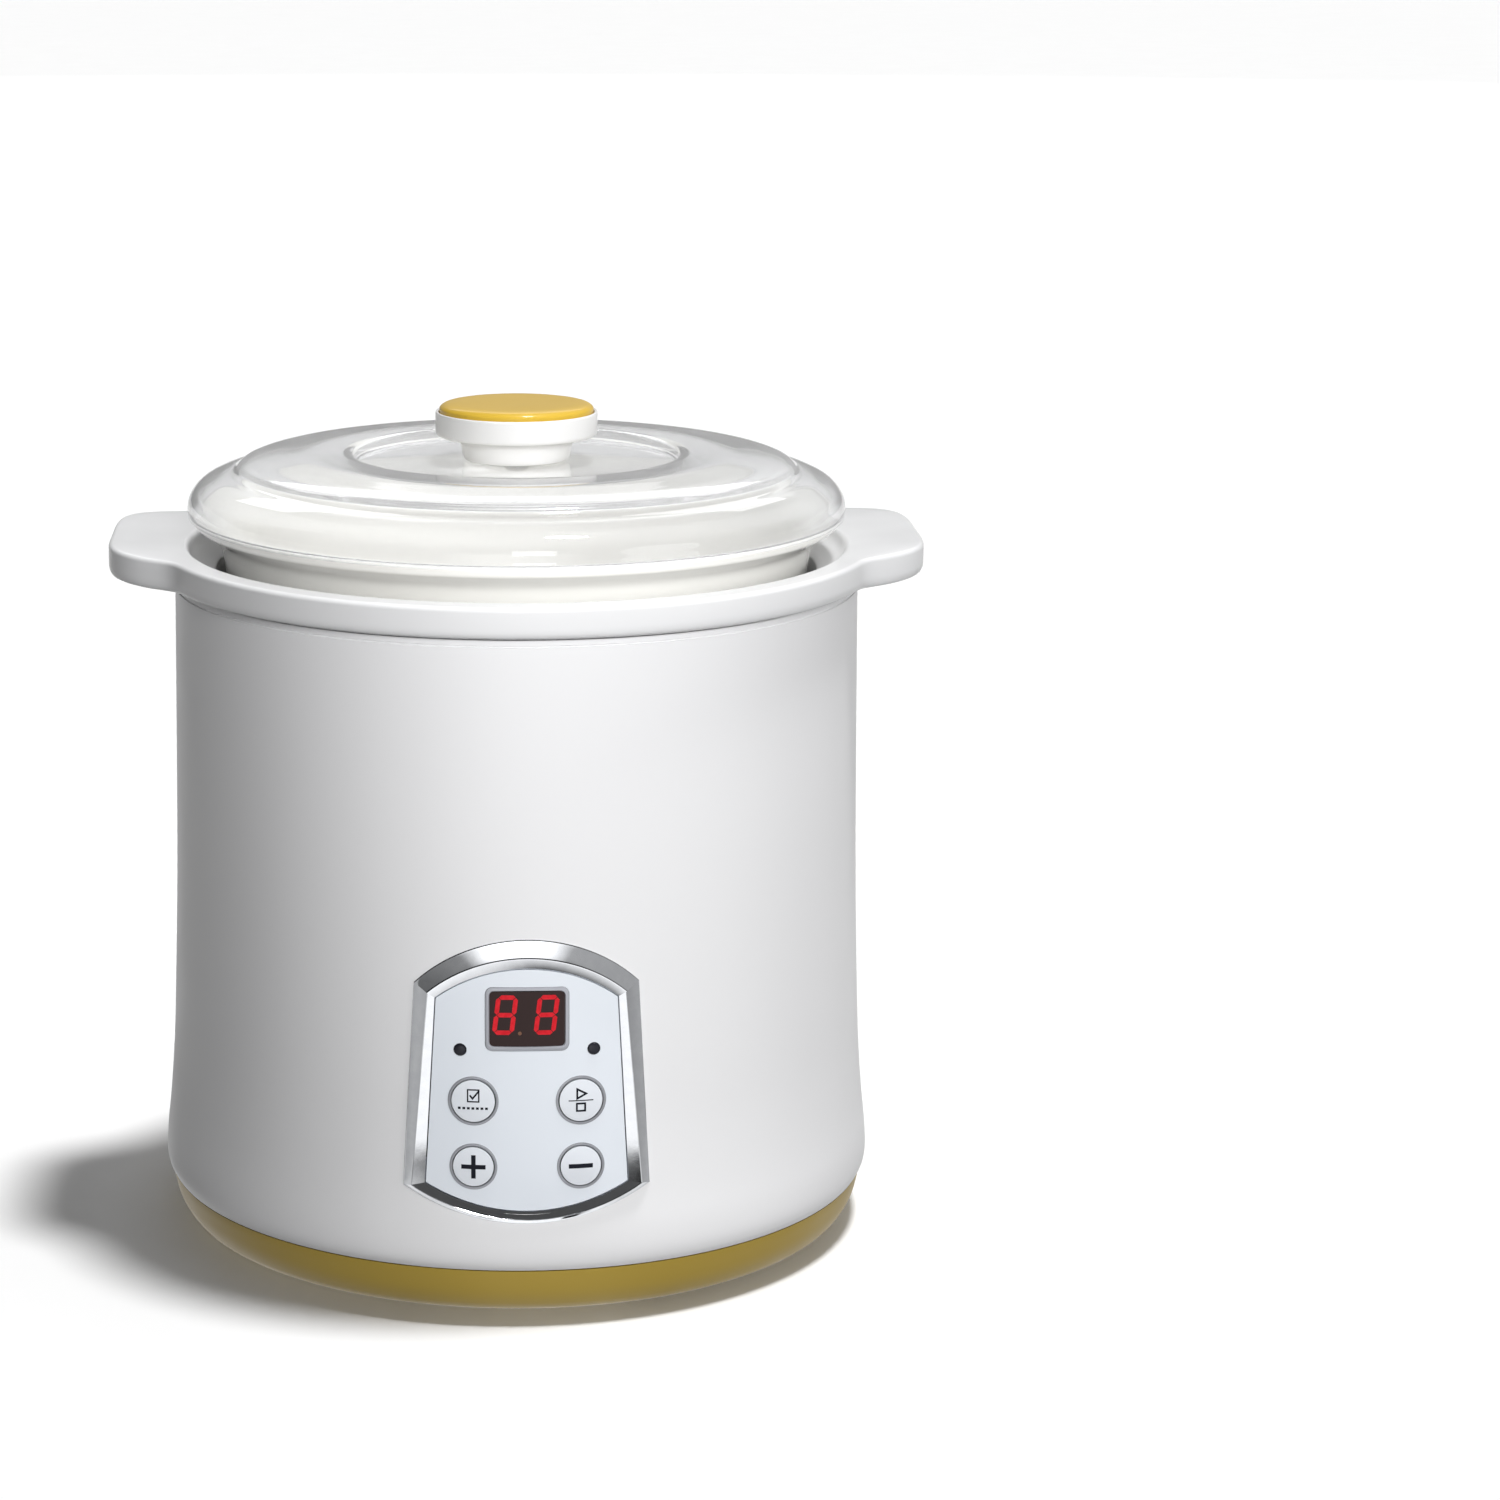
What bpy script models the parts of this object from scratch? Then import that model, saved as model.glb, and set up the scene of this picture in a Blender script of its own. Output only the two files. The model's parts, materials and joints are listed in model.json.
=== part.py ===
"""Countertop yogurt maker: a heated housing, a lift-out inner pot and a clear lid with a knob.

Metres, +Z up, front towards -Y. The origin is on the table, under the middle of the base.
"""
import math

import bmesh
import bpy
from mathutils import Matrix, Vector

# ---------------------------------------------------------------- driving dimensions
GAP = 0.0003                # running gap between neighbouring pieces
LARGE_STEPS = 48            # facets round the housing pieces
SMALL_STEPS = 36            # facets round the pot, the well and the lid
PIN_STEPS = 12              # facets round screws, lamps and other small round pieces

BODY_TOP_R = 0.1040
BODY_TOP_Z = 0.2023
BULGE_R = 0.1100
SEAM_R = 0.1083             # where the white body meets the gold base
SEAM_Z = 0.0165
WALL = 0.0025

BASE_FLOOR_Z = 0.0015
LIP_TOP_Z = 0.0212          # top of the lip that the body slips over
FOOT_RING_R = 0.074         # circle that the rubber feet stand on
SCREW_RING_R = 0.0915       # circle of the four base screws
BOSS_R = 0.0052
BOSS_SPLIT_Z = 0.0217       # where the base columns meet the bosses of the body
CORNERS = [math.radians(45 + 90 * n) for n in range(4)]

FLANGE_R = 0.1086
FLANGE_LOW = 0.2030
FLANGE_TOP = 0.2110
FLANGE_INNER_R = 0.1012
THROAT_R = 0.0914
EAR_TIP = 0.1240
EAR_HALF_WIDTH = 0.0490
EAR_SHIFT = 0.0100          # the ears sit this far behind the middle
EAR_RISE = 0.0010           # the tips stand this far above the ring
EAR_SQUARENESS = 4.5        # exponent of the rounded-rectangle curve of the ears
EAR_FILLET = 34             # sharpness of the blend between ring and ears

WELL_TOP_Z = 0.1985
WELL_TOP_R = 0.0906
WELL_LOW_R = 0.0823
WELL_FLOOR_Z = 0.0480
WELL_SHEET = 0.0012

POT_RIM_R = 0.0985
POT_RIM_Z = 0.2219
POT_WALL_R = 0.0890
POT_LOW_R = 0.0805
POT_FLOOR_Z = WELL_FLOOR_Z + GAP
POT_WALL = 0.0024

LID_R = 0.1000
LID_LOW_Z = 0.2213
LID_CROWN_Z = 0.2399
LID_RECESS_Z = 0.2370
LID_WALL = 0.0016
KNOB_R = 0.0246
KNOB_TOP_Z = 0.2550
INLAY_R = 0.0234
INLAY_SEAT_Z = 0.2492       # floor of the knob's pocket

PANEL_FOOT_R = 0.1099       # panel surface at its lower edge
PANEL_FOOT_Z = 0.0314
PANEL_TAPER = 0.0352        # how fast the panel surface draws in with height
BEZEL_OUTLINE = dict(top_half=0.0323, low_half=0.0357, top_z=0.1021, low_z=0.0416,
                     top_arch=0.0136, low_arch=0.0099)
FACE_OUTLINE = dict(top_half=0.0262, low_half=0.0293, top_z=0.0979, low_z=0.0427,
                    top_arch=0.0091, low_arch=0.0076)
FACE_SINK = 0.0010          # the face lies this far below the crest of the bezel
FACE_SHEET = 0.0020
BEZEL_DEPTH = 0.0045

DISPLAY_Z = 0.0923
DISPLAY_SIZE = (0.0242, 0.0190)
LAMP_X = 0.0192
LAMP_Z = 0.0830
LAMP_R = 0.0018
BUTTONS = [                 # name, x, z, radius of the cap
    ("button_function", -0.0155, 0.0679, 0.0066),
    ("button_start", 0.0155, 0.0679, 0.0066),
    ("button_plus", -0.0155, 0.0483, 0.0062),
    ("button_minus", 0.0155, 0.0483, 0.0062),
]
BUTTON_PROUD = 0.0006       # the caps stand this far above the face
BOARD_FRONT_Y = -0.0975
BOARD_THICK = 0.0016
SWITCH_TIP_Y = -0.1018
STEM_TIP_Y = -0.1026

POWER_BOARD_Z = 0.0100
POWER_BOARD_HOLES = [(x, y) for x in (-0.031, 0.031) for y in (-0.021, 0.021)]
INLET_Z = 0.0400
INLET_FRONT_Y = 0.1086
SOCKET_FLOOR_Y = 0.0943
INLET_MOUTH = (0.0164, 0.0086)  # width and height of the socket
PIN_X = 0.0042              # half the pitch of the two inlet pins

FINISHES = {                # base colour, roughness, metallic
    "white": ((0.88, 0.88, 0.89), 0.15, 0.0),
    "gold": ((0.47, 0.33, 0.07), 0.35, 0.0),
    "cream": ((0.86, 0.85, 0.80), 0.12, 0.0),
    "clear": ((0.80, 0.82, 0.84), 0.05, 0.0),
    "face": ((0.76, 0.80, 0.85), 0.12, 0.0),
    "chrome": ((0.75, 0.76, 0.78), 0.06, 1.0),
    "steel": ((0.55, 0.55, 0.56), 0.35, 1.0),
    "aluminium": ((0.70, 0.70, 0.71), 0.40, 1.0),
    "copper": ((0.72, 0.42, 0.25), 0.35, 1.0),
    "rubber": ((0.04, 0.04, 0.04), 0.85, 0.0),
    "black": ((0.03, 0.03, 0.035), 0.35, 0.0),
    "lens": ((0.05, 0.02, 0.02), 0.08, 0.0),
    "board": ((0.03, 0.22, 0.10), 0.45, 0.0),
    "felt": ((0.45, 0.44, 0.42), 0.95, 0.0),
    "foil": ((0.80, 0.55, 0.20), 0.30, 1.0),
    "red_lead": ((0.50, 0.03, 0.03), 0.45, 0.0),
    "blue_lead": ((0.04, 0.10, 0.45), 0.45, 0.0),
    "yellow": ((0.75, 0.55, 0.05), 0.45, 0.0),
}


# ---------------------------------------------------------------- scene and helpers
def clear_scene():
    for item in list(bpy.data.objects):
        bpy.data.objects.remove(item, do_unlink=True)


def make_collection(name):
    group = bpy.data.collections.new(name)
    bpy.context.scene.collection.children.link(group)
    return group


clear_scene()
PARTS = make_collection("yogurt_maker")
CUTTERS = make_collection("cutters")


def paint(obj, finish):
    colour, roughness, metallic = FINISHES[finish]
    material = bpy.data.materials.new(obj.name)
    material.use_nodes = True
    shader = material.node_tree.nodes["Principled BSDF"]
    shader.inputs["Base Color"].default_value = (*colour, 1.0)
    shader.inputs["Roughness"].default_value = roughness
    shader.inputs["Metallic"].default_value = metallic
    material.diffuse_color = (*colour, 1.0)
    obj.data.materials.clear()
    obj.data.materials.append(material)


def place(name, mesh, finish=None):
    """Link a mesh as a part, or as a cutter when it has no finish."""
    obj = bpy.data.objects.new(name, mesh)
    if finish:
        PARTS.objects.link(obj)
        paint(obj, finish)
    else:
        CUTTERS.objects.link(obj)
        obj.hide_render = True
        obj.display_type = "WIRE"
    return obj


def finish_mesh(name, bm, finish=None):
    mesh = bpy.data.meshes.new(name)
    bm.to_mesh(mesh)
    bm.free()
    return place(name, mesh, finish)


def arc(centre, radius, start, end, steps):
    """Points along an arc of a profile, angles in degrees, both ends included."""
    angles = [math.radians(start + (end - start) * n / steps) for n in range(steps + 1)]
    return [(centre[0] + radius * math.cos(a), centre[1] + radius * math.sin(a)) for a in angles]


def turned(name, profile, finish=None, steps=SMALL_STEPS):
    """Turn a profile of (radius, height) points round Z; its outer side runs downwards."""
    bm = bmesh.new()
    points = [bm.verts.new((r, 0.0, z)) for r, z in profile]
    for a, b in zip(points, points[1:]):
        bm.edges.new((a, b))
    starts_on_axis = profile[0][0] == 0.0
    if not starts_on_axis:
        bm.edges.new((points[-1], points[0]))
    obj = finish_mesh(name, bm, finish)
    screw = obj.modifiers.new("turn", "SCREW")
    screw.axis = "Z"
    screw.angle = 2 * math.pi
    screw.steps = steps
    screw.render_steps = steps
    screw.use_merge_vertices = True
    screw.merge_threshold = 0.00001
    return obj


def add_cylinder(bm, centre, radius, length, axis="Z", steps=PIN_STEPS):
    """Add a closed cylinder along Z or Y."""
    turn = {"Z": Matrix(), "Y": Matrix.Rotation(math.pi / 2, 4, "X")}[axis]
    place_at = Matrix.Translation(Vector(centre)) @ turn
    bmesh.ops.create_cone(bm, cap_ends=True, segments=steps, radius1=radius, radius2=radius,
                          depth=length, matrix=place_at)


def add_box(bm, low, high, turn=0.0):
    """Add a box between two corners, turned about Z through the origin."""
    low, high = Vector(low), Vector(high)
    size = high - low
    place_at = Matrix.Rotation(turn, 4, "Z") @ Matrix.Translation((low + high) / 2)
    bmesh.ops.create_cube(bm, size=1.0, matrix=place_at @ Matrix.Diagonal((*size, 1.0)))


def box(name, low, high, finish=None, bevel=0.0):
    bm = bmesh.new()
    add_box(bm, low, high)
    obj = finish_mesh(name, bm, finish)
    if bevel:
        round_edges(obj, bevel)
    return obj


def round_edges(obj, width, segments=2, angle=50):
    modifier = obj.modifiers.new("round", "BEVEL")
    modifier.width = width
    modifier.segments = segments
    modifier.limit_method = "ANGLE"
    modifier.angle_limit = math.radians(angle)


def combine(target, operand, operation="DIFFERENCE"):
    modifier = target.modifiers.new(operation.lower(), "BOOLEAN")
    modifier.operation = operation
    modifier.object = operand
    modifier.solver = "EXACT"


def outline_solid(name, outline, low_y, high_y, finish=None):
    """Extrude an outline of (x, z) points along Y."""
    curve = bpy.data.curves.new(name, "CURVE")
    curve.dimensions = "2D"
    curve.fill_mode = "BOTH"
    curve.extrude = (high_y - low_y) / 2
    curve.render_resolution_u = 0
    spline = curve.splines.new("POLY")
    spline.points.add(len(outline) - 1)
    for point, (x, z) in zip(spline.points, outline):
        point.co = (x, z, 0.0, 1.0)
    spline.use_cyclic_u = True
    flat = bpy.data.objects.new(name + "_outline", curve)
    CUTTERS.objects.link(flat)
    stand = Matrix.Translation((0.0, (low_y + high_y) / 2, 0.0)) @ Matrix.Rotation(math.pi / 2, 4, "X")
    return curve_to_mesh(flat, stand, name, finish)


def curve_to_mesh(curve_object, matrix, name, finish):
    bpy.context.view_layer.update()
    graph = bpy.context.evaluated_depsgraph_get()
    mesh = bpy.data.meshes.new_from_object(curve_object.evaluated_get(graph))
    bpy.data.objects.remove(curve_object, do_unlink=True)
    bm = bmesh.new()
    bm.from_mesh(mesh)
    bmesh.ops.remove_doubles(bm, verts=bm.verts, dist=0.000001)
    bmesh.ops.transform(bm, matrix=matrix, verts=bm.verts)
    bmesh.ops.recalc_face_normals(bm, faces=bm.faces)
    bm.to_mesh(mesh)
    bm.free()
    mesh.name = name
    return place(name, mesh, finish)


def lead(name, points, radius, finish):
    """A short insulated lead: a round tube along a smooth line through the points."""
    curve = bpy.data.curves.new(name, "CURVE")
    curve.dimensions = "3D"
    curve.bevel_depth = radius
    curve.bevel_resolution = 1
    curve.use_fill_caps = True
    curve.resolution_u = 3
    curve.render_resolution_u = 0
    spline = curve.splines.new("BEZIER")
    spline.bezier_points.add(len(points) - 1)
    for knot, place_at in zip(spline.bezier_points, points):
        knot.co = place_at
        knot.handle_left_type = "AUTO"
        knot.handle_right_type = "AUTO"
    tube = bpy.data.objects.new(name + "_line", curve)
    CUTTERS.objects.link(tube)
    return curve_to_mesh(tube, Matrix(), name, finish)


def arched_outline(top_half, low_half, top_z, low_z, top_arch, low_arch, grow=0.0, steps=12):
    """Shield-like outline with straight sides and arched top and bottom, grown all round."""
    def bow(half, corner_z, rise):
        radius = (half * half + rise * rise) / (2 * abs(rise))
        reach = math.asin(half / radius)
        centre_z = corner_z + rise - math.copysign(radius, rise)
        angles = [reach - 2 * reach * n / steps for n in range(steps + 1)]
        sign = math.copysign(1.0, rise)
        return [(radius * math.sin(a), centre_z + sign * radius * math.cos(a)) for a in angles]
    top = bow(top_half + grow, top_z + grow, top_arch)
    low = bow(low_half + grow, low_z - grow, -low_arch)
    return top + low[::-1]


def rounded_outline(centre, size, radius, steps=4):
    """Rounded rectangle of (x, z) points."""
    half_x = size[0] / 2 - radius
    half_z = size[1] / 2 - radius
    corners = [(half_x, half_z, 0), (-half_x, half_z, 90), (-half_x, -half_z, 180), (half_x, -half_z, 270)]
    outline = []
    for x, z, start in corners:
        outline += arc((centre[0] + x, centre[1] + z), radius, start, start + 90, steps)
    return outline


def panel_radius(z):
    return PANEL_FOOT_R - PANEL_TAPER * (z - PANEL_FOOT_Z)


def panel_skin(name, front, back, finish=None):
    """Turned layer between two depths below the panel's outer surface."""
    low, high = 0.020, 0.128
    profile = [(panel_radius(high) - front, high), (panel_radius(low) - front, low),
               (panel_radius(low) - back, low), (panel_radius(high) - back, high)]
    return turned(name, profile, finish, steps=96)


# ---------------------------------------------------------------- housing
def screw_solid(name, centre, low, head_r, head_h, shank_r, length, finish="steel"):
    """A pan-head screw that points up from its head, with a flat head."""
    profile = [(0.0, low + head_h + length), (shank_r * 0.6, low + head_h + length),
               (shank_r, low + head_h + length - shank_r), (shank_r, low + head_h),
               (head_r, low + head_h), (head_r, low + head_h * 0.35), (head_r * 0.75, low), (0.0, low)]
    obj = turned(name, profile, finish, steps=PIN_STEPS)
    obj.location = (centre[0], centre[1], 0.0)
    return obj


def ring_places(radius):
    return [(radius * math.cos(a), radius * math.sin(a)) for a in CORNERS]


def vertical_pins(name, places, radius, low, high, steps=PIN_STEPS):
    """One cutter or operand that holds several upright cylinders."""
    bm = bmesh.new()
    for x, y in places:
        add_cylinder(bm, (x, y, (low + high) / 2), radius, high - low, steps=steps)
    return finish_mesh(name, bm)


def make_body_shell():
    outer = [(BODY_TOP_R, BODY_TOP_Z), (0.1053, 0.110), (0.1067, 0.066), (0.1076, 0.050),
             (0.1086, 0.038), (0.1096, 0.029), (BULGE_R, 0.0215), (SEAM_R, SEAM_Z + GAP)]
    inner = [(r - WALL, z) for r, z in outer[::-1]]
    shell = turned("body_shell", outer + inner, "white", steps=LARGE_STEPS)
    bosses = vertical_pins("boss_rods", ring_places(SCREW_RING_R), BOSS_R - 0.0006,
                           BOSS_SPLIT_Z + GAP, 0.0360)
    ribs = bmesh.new()
    for angle in CORNERS:
        add_box(ribs, (SCREW_RING_R, -0.0010, BOSS_SPLIT_Z + 2 * GAP), (0.1076, 0.0010, 0.0350), turn=angle)
    combine(shell, finish_mesh("boss_ribs", ribs), "UNION")
    combine(shell, bosses, "UNION")
    combine(shell, vertical_pins("boss_pilots", ring_places(SCREW_RING_R), 0.0018, 0.0200, 0.0340))
    window = arched_outline(**BEZEL_OUTLINE, grow=GAP)
    combine(shell, outline_solid("panel_window", window, -0.125, -0.085))
    combine(shell, box("inlet_window", (-0.0120, 0.090, INLET_Z - 0.0070), (0.0120, 0.125, INLET_Z + 0.0070)))
    return shell


def make_base_housing():
    floor_top = BASE_FLOOR_Z + WALL
    inside = [(0.0, floor_top), (0.0960, floor_top), (0.1036, 0.0115), (0.1036, LIP_TOP_Z)]
    lip = [(0.1052, LIP_TOP_Z), (0.1052, SEAM_Z)]
    outside = [(SEAM_R, SEAM_Z), (0.1070, 0.0120)] + arc((0.0985, 0.0107), 0.0092, -12, -90, 3)
    profile = inside + lip + outside + [(0.0, BASE_FLOOR_Z)]
    base = turned("base_housing", profile, "gold", steps=LARGE_STEPS)
    inside_z = BASE_FLOOR_Z + WALL / 2
    columns = vertical_pins("base_columns", ring_places(SCREW_RING_R), BOSS_R, inside_z, BOSS_SPLIT_Z)
    posts = vertical_pins("board_posts", POWER_BOARD_HOLES, 0.0032, inside_z, POWER_BOARD_Z - GAP)
    combine(base, columns, "UNION")
    combine(base, posts, "UNION")
    combine(base, vertical_pins("head_pockets", ring_places(SCREW_RING_R), 0.0036, 0.0005, 0.0150))
    combine(base, vertical_pins("shank_holes", ring_places(SCREW_RING_R), 0.0018, 0.0140, 0.0230))
    combine(base, vertical_pins("post_holes", POWER_BOARD_HOLES, 0.0016, 0.0045, 0.0110))
    combine(base, vertical_pins("foot_holes", ring_places(FOOT_RING_R), 0.0023, 0.0, 0.0100))
    vents = bmesh.new()
    for row in range(6):
        y = -0.0125 + 0.005 * row
        add_box(vents, (-0.022, y - 0.001, 0.0), (0.022, y + 0.001, floor_top + 0.002))
    combine(base, finish_mesh("vent_slots", vents))
    return base


def make_feet_and_screws():
    for n, (x, y) in enumerate(ring_places(FOOT_RING_R), 1):
        peg_top = BASE_FLOOR_Z + WALL + 0.0012
        profile = [(0.0, peg_top), (0.0016, peg_top), (0.0020, BASE_FLOOR_Z + WALL), (0.0020, 0.0012),
                   (0.0076, 0.0012), (0.0080, 0.0008), (0.0074, 0.0), (0.0, 0.0)]
        foot = turned("foot_%d" % n, profile, "rubber", steps=20)
        foot.location = (x, y, 0.0)
    for n, place_at in enumerate(ring_places(SCREW_RING_R), 1):
        screw_solid("base_screw_%d" % n, place_at, 0.0127, 0.0032, 0.0019, 0.0014, 0.0170)


def ear_reach(angle):
    """Radius at which a ray from the axis leaves the rounded rectangle of the ears."""
    inside, outside = 0.0, 2 * EAR_TIP
    for _ in range(40):
        radius = (inside + outside) / 2
        across = abs(radius * math.cos(angle) / EAR_TIP) ** EAR_SQUARENESS
        along = abs((radius * math.sin(angle) - EAR_SHIFT) / EAR_HALF_WIDTH) ** EAR_SQUARENESS
        if across + along < 1.0:
            inside = radius
        else:
            outside = radius
    return inside


def flange_reach(angle):
    """Plan radius of the collar: a round ring blended into two ears on the X axis."""
    return (FLANGE_R ** EAR_FILLET + ear_reach(angle) ** EAR_FILLET) ** (1 / EAR_FILLET)


def make_top_flange():
    """The collar is a loft: eared rings on the outside, plain round ones in the throat."""
    steps = 80
    edge = [(-0.0014, FLANGE_TOP), (-0.0004, FLANGE_TOP - 0.0004), (0.0, FLANGE_TOP - 0.0014),
            (0.0, FLANGE_LOW + 0.0024), (-0.0010, FLANGE_LOW + 0.0007), (-0.0030, FLANGE_LOW)]
    skirt_r = BODY_TOP_R - WALL - GAP
    throat = [(skirt_r, FLANGE_LOW), (skirt_r, 0.1950), (0.0992, 0.1950), (0.0992, WELL_TOP_Z + GAP),
              (THROAT_R, WELL_TOP_Z + GAP), (THROAT_R, 0.2052), (0.0925, 0.2062), (0.0985, 0.2092),
              (FLANGE_INNER_R - 0.0008, FLANGE_TOP - 0.0006), (FLANGE_INNER_R, FLANGE_TOP)]
    rings = [("ear", *spot) for spot in edge] + [("round", *spot) for spot in throat]
    bm = bmesh.new()
    loops = []
    for kind, size, z in rings:
        loop = []
        for n in range(steps):
            angle = 2 * math.pi * n / steps
            reach, height = size, z
            if kind == "ear":
                share = (flange_reach(angle) - FLANGE_R) / (EAR_TIP - FLANGE_R)
                reach += flange_reach(angle)
                height += EAR_RISE * share * share
            loop.append(bm.verts.new((reach * math.cos(angle), reach * math.sin(angle), height)))
        loops.append(loop)
    for upper, lower in zip(loops, loops[1:] + loops[:1]):
        for n in range(steps):
            m = (n + 1) % steps
            bm.faces.new((upper[n], lower[n], lower[m], upper[m]))
    return finish_mesh("top_flange", bm, "white")


# ---------------------------------------------------------------- heating
def make_heating_parts():
    low_wall_z = 0.0600
    inner = [(0.0, WELL_FLOOR_Z), (0.0740, WELL_FLOOR_Z), (0.0798, 0.0510), (WELL_LOW_R, low_wall_z),
             (WELL_TOP_R, WELL_TOP_Z)]
    rim = [(0.0985, WELL_TOP_Z), (0.0985, WELL_TOP_Z - WELL_SHEET)]
    outer = [(WELL_TOP_R + WELL_SHEET, WELL_TOP_Z - WELL_SHEET), (WELL_LOW_R + WELL_SHEET, low_wall_z),
             (0.0806, 0.0500), (0.0742, WELL_FLOOR_Z - WELL_SHEET), (0.0, WELL_FLOOR_Z - WELL_SHEET)]
    turned("heating_well", inner + rim + outer, "aluminium")

    def wrap(name, low, high, start, thick, finish):
        slope = (WELL_TOP_R - WELL_LOW_R) / (WELL_TOP_Z - low_wall_z)
        skin = [(WELL_LOW_R + WELL_SHEET + slope * (z - low_wall_z), z) for z in (high, low)]
        outside = [(r + start + thick, z) for r, z in skin]
        inside = [(r + start, z) for r, z in skin[::-1]]
        turned(name, outside + inside, finish)
    wrap("heater_band", 0.075, 0.115, GAP, 0.0008, "foil")
    wrap("insulation_wrap", 0.070, 0.188, 0.0015, 0.0022, "felt")

    under = WELL_FLOOR_Z - WELL_SHEET - GAP
    turned("heater_plate", [(0.055, under), (0.055, under - 0.0020), (0.0060, under - 0.0020),
                            (0.0060, under)], "foil")
    turned("temperature_sensor", [(0.0, under), (0.0040, under), (0.0046, under - 0.0010),
                                  (0.0046, 0.0380), (0.0030, 0.0362), (0.0, 0.0362)], "copper", steps=24)
    fuse = bmesh.new()
    add_cylinder(fuse, (0.026, 0.0, under - 0.0020 - GAP - 0.0026), 0.0026, 0.0150, axis="Y")
    round_edges(finish_mesh("thermal_fuse", fuse, "steel"), 0.0005, 1)


# ---------------------------------------------------------------- pot and lid
def make_inner_pot():
    outer = [(POT_RIM_R, POT_RIM_Z - 0.0013), (0.0974, 0.2186), (0.0910, 0.2145), (POT_WALL_R, 0.2105),
             (POT_LOW_R, 0.0620), (0.0730, POT_FLOOR_Z), (0.0, POT_FLOOR_Z)]
    floor = POT_FLOOR_Z + 0.0030
    inner = [(0.0, floor), (0.0715, floor), (POT_LOW_R - POT_WALL, 0.0630),
             (POT_WALL_R - POT_WALL, 0.2112), (0.0895, 0.2164), (0.0960, 0.2211), (0.0976, POT_RIM_Z)]
    turned("inner_pot", inner + outer, "cream", steps=LARGE_STEPS)


def make_lid():
    top = [(0.0023, LID_RECESS_Z), (0.0486, LID_RECESS_Z), (0.0507, LID_CROWN_Z), (0.0640, 0.2398),
           (0.0840, 0.2371), (0.0874, 0.2321), (0.0910, 0.2326), (0.0952, 0.2315), (0.0985, 0.2283),
           (LID_R, 0.2242), (0.0998, LID_LOW_Z)]
    seat_z = POT_RIM_Z + GAP
    rim = [(POT_RIM_R + GAP, LID_LOW_Z), (POT_RIM_R + GAP, seat_z), (0.0968, seat_z), (0.0966, 0.2264)]
    under = [(0.0930, 0.2303), (0.0865, 0.2303), (0.0832, 0.2355), (0.0640, 0.2382),
             (0.0518, 0.2383), (0.0496, LID_RECESS_Z - LID_WALL), (0.0023, LID_RECESS_Z - LID_WALL)]
    turned("lid_shell", top + rim + under, "clear", steps=LARGE_STEPS)


def make_knob():
    foot_z = LID_RECESS_Z + GAP
    rim_z = KNOB_TOP_Z - 0.0029
    pocket_r = INLAY_R + GAP
    cap = [(pocket_r, rim_z), (0.0243, rim_z - 0.0003), (KNOB_R, rim_z - 0.0012), (KNOB_R, 0.2459),
           (0.0240, 0.2449), (0.0196, 0.2444)]
    stem = [(0.0178, 0.2432), (0.0169, 0.2410), (0.0163, 0.2388), (0.0152, foot_z)]
    hole = [(0.0016, foot_z), (0.0016, 0.2470), (0.0, 0.2470)]
    pocket = [(0.0, INLAY_SEAT_Z), (pocket_r, INLAY_SEAT_Z)]
    turned("knob_body", pocket + cap + stem + hole, "white", steps=32)
    dome = [(0.0, KNOB_TOP_Z), (0.0150, KNOB_TOP_Z - 0.0001), (0.0200, KNOB_TOP_Z - 0.0005),
            (0.0224, KNOB_TOP_Z - 0.0012), (INLAY_R, KNOB_TOP_Z - 0.0026)]
    seat = [(INLAY_R, INLAY_SEAT_Z + GAP), (0.0, INLAY_SEAT_Z + GAP)]
    turned("knob_inlay", dome + seat, "gold", steps=32)
    washer_top = LID_RECESS_Z - LID_WALL - GAP
    turned("knob_washer", [(0.0060, washer_top), (0.0060, washer_top - 0.0008), (0.0019, washer_top - 0.0008),
                           (0.0019, washer_top)], "steel", steps=24)
    head_low = washer_top - 0.0008 - GAP - 0.0018
    screw_solid("knob_screw", (0.0, 0.0), head_low, 0.0036, 0.0018, 0.0013, 0.0100)


# ---------------------------------------------------------------- control panel
def make_bezel_and_face():
    bezel = panel_skin("panel_bezel", 0.0, BEZEL_DEPTH, "chrome")
    combine(bezel, outline_solid("bezel_blank", arched_outline(**BEZEL_OUTLINE), -0.125, -0.085), "INTERSECT")
    pocket = panel_skin("bezel_pocket", -0.0100, FACE_SINK + FACE_SHEET + GAP)
    combine(pocket, outline_solid("pocket_blank", arched_outline(**FACE_OUTLINE, grow=GAP), -0.125, -0.085),
            "INTERSECT")
    combine(bezel, pocket)
    opening = arched_outline(**FACE_OUTLINE, grow=-0.0016)
    combine(bezel, outline_solid("bezel_opening", opening, -0.125, -0.085))

    face = panel_skin("panel_face", FACE_SINK, FACE_SINK + FACE_SHEET, "face")
    combine(face, outline_solid("face_blank", arched_outline(**FACE_OUTLINE), -0.125, -0.085), "INTERSECT")
    screen_hole = rounded_outline((0.0, DISPLAY_Z), DISPLAY_SIZE, 0.0020)
    combine(face, outline_solid("display_hole", screen_hole, -0.120, -0.095))
    holes = bmesh.new()
    for side in (-1, 1):
        add_cylinder(holes, (side * LAMP_X, -0.108, LAMP_Z), LAMP_R + GAP, 0.020, axis="Y")
    for _, x, z, radius in BUTTONS:
        add_cylinder(holes, (x, -0.108, z), radius + GAP, 0.020, axis="Y", steps=28)
    combine(face, finish_mesh("button_and_lamp_holes", holes))

    window = panel_skin("display_window", FACE_SINK + 0.0001, FACE_SINK + 0.0015, "lens")
    lens_size = (DISPLAY_SIZE[0] - 2 * GAP, DISPLAY_SIZE[1] - 2 * GAP)
    lens = rounded_outline((0.0, DISPLAY_Z), lens_size, 0.0018)
    combine(window, outline_solid("lens_blank", lens, -0.120, -0.095), "INTERSECT")


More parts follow.
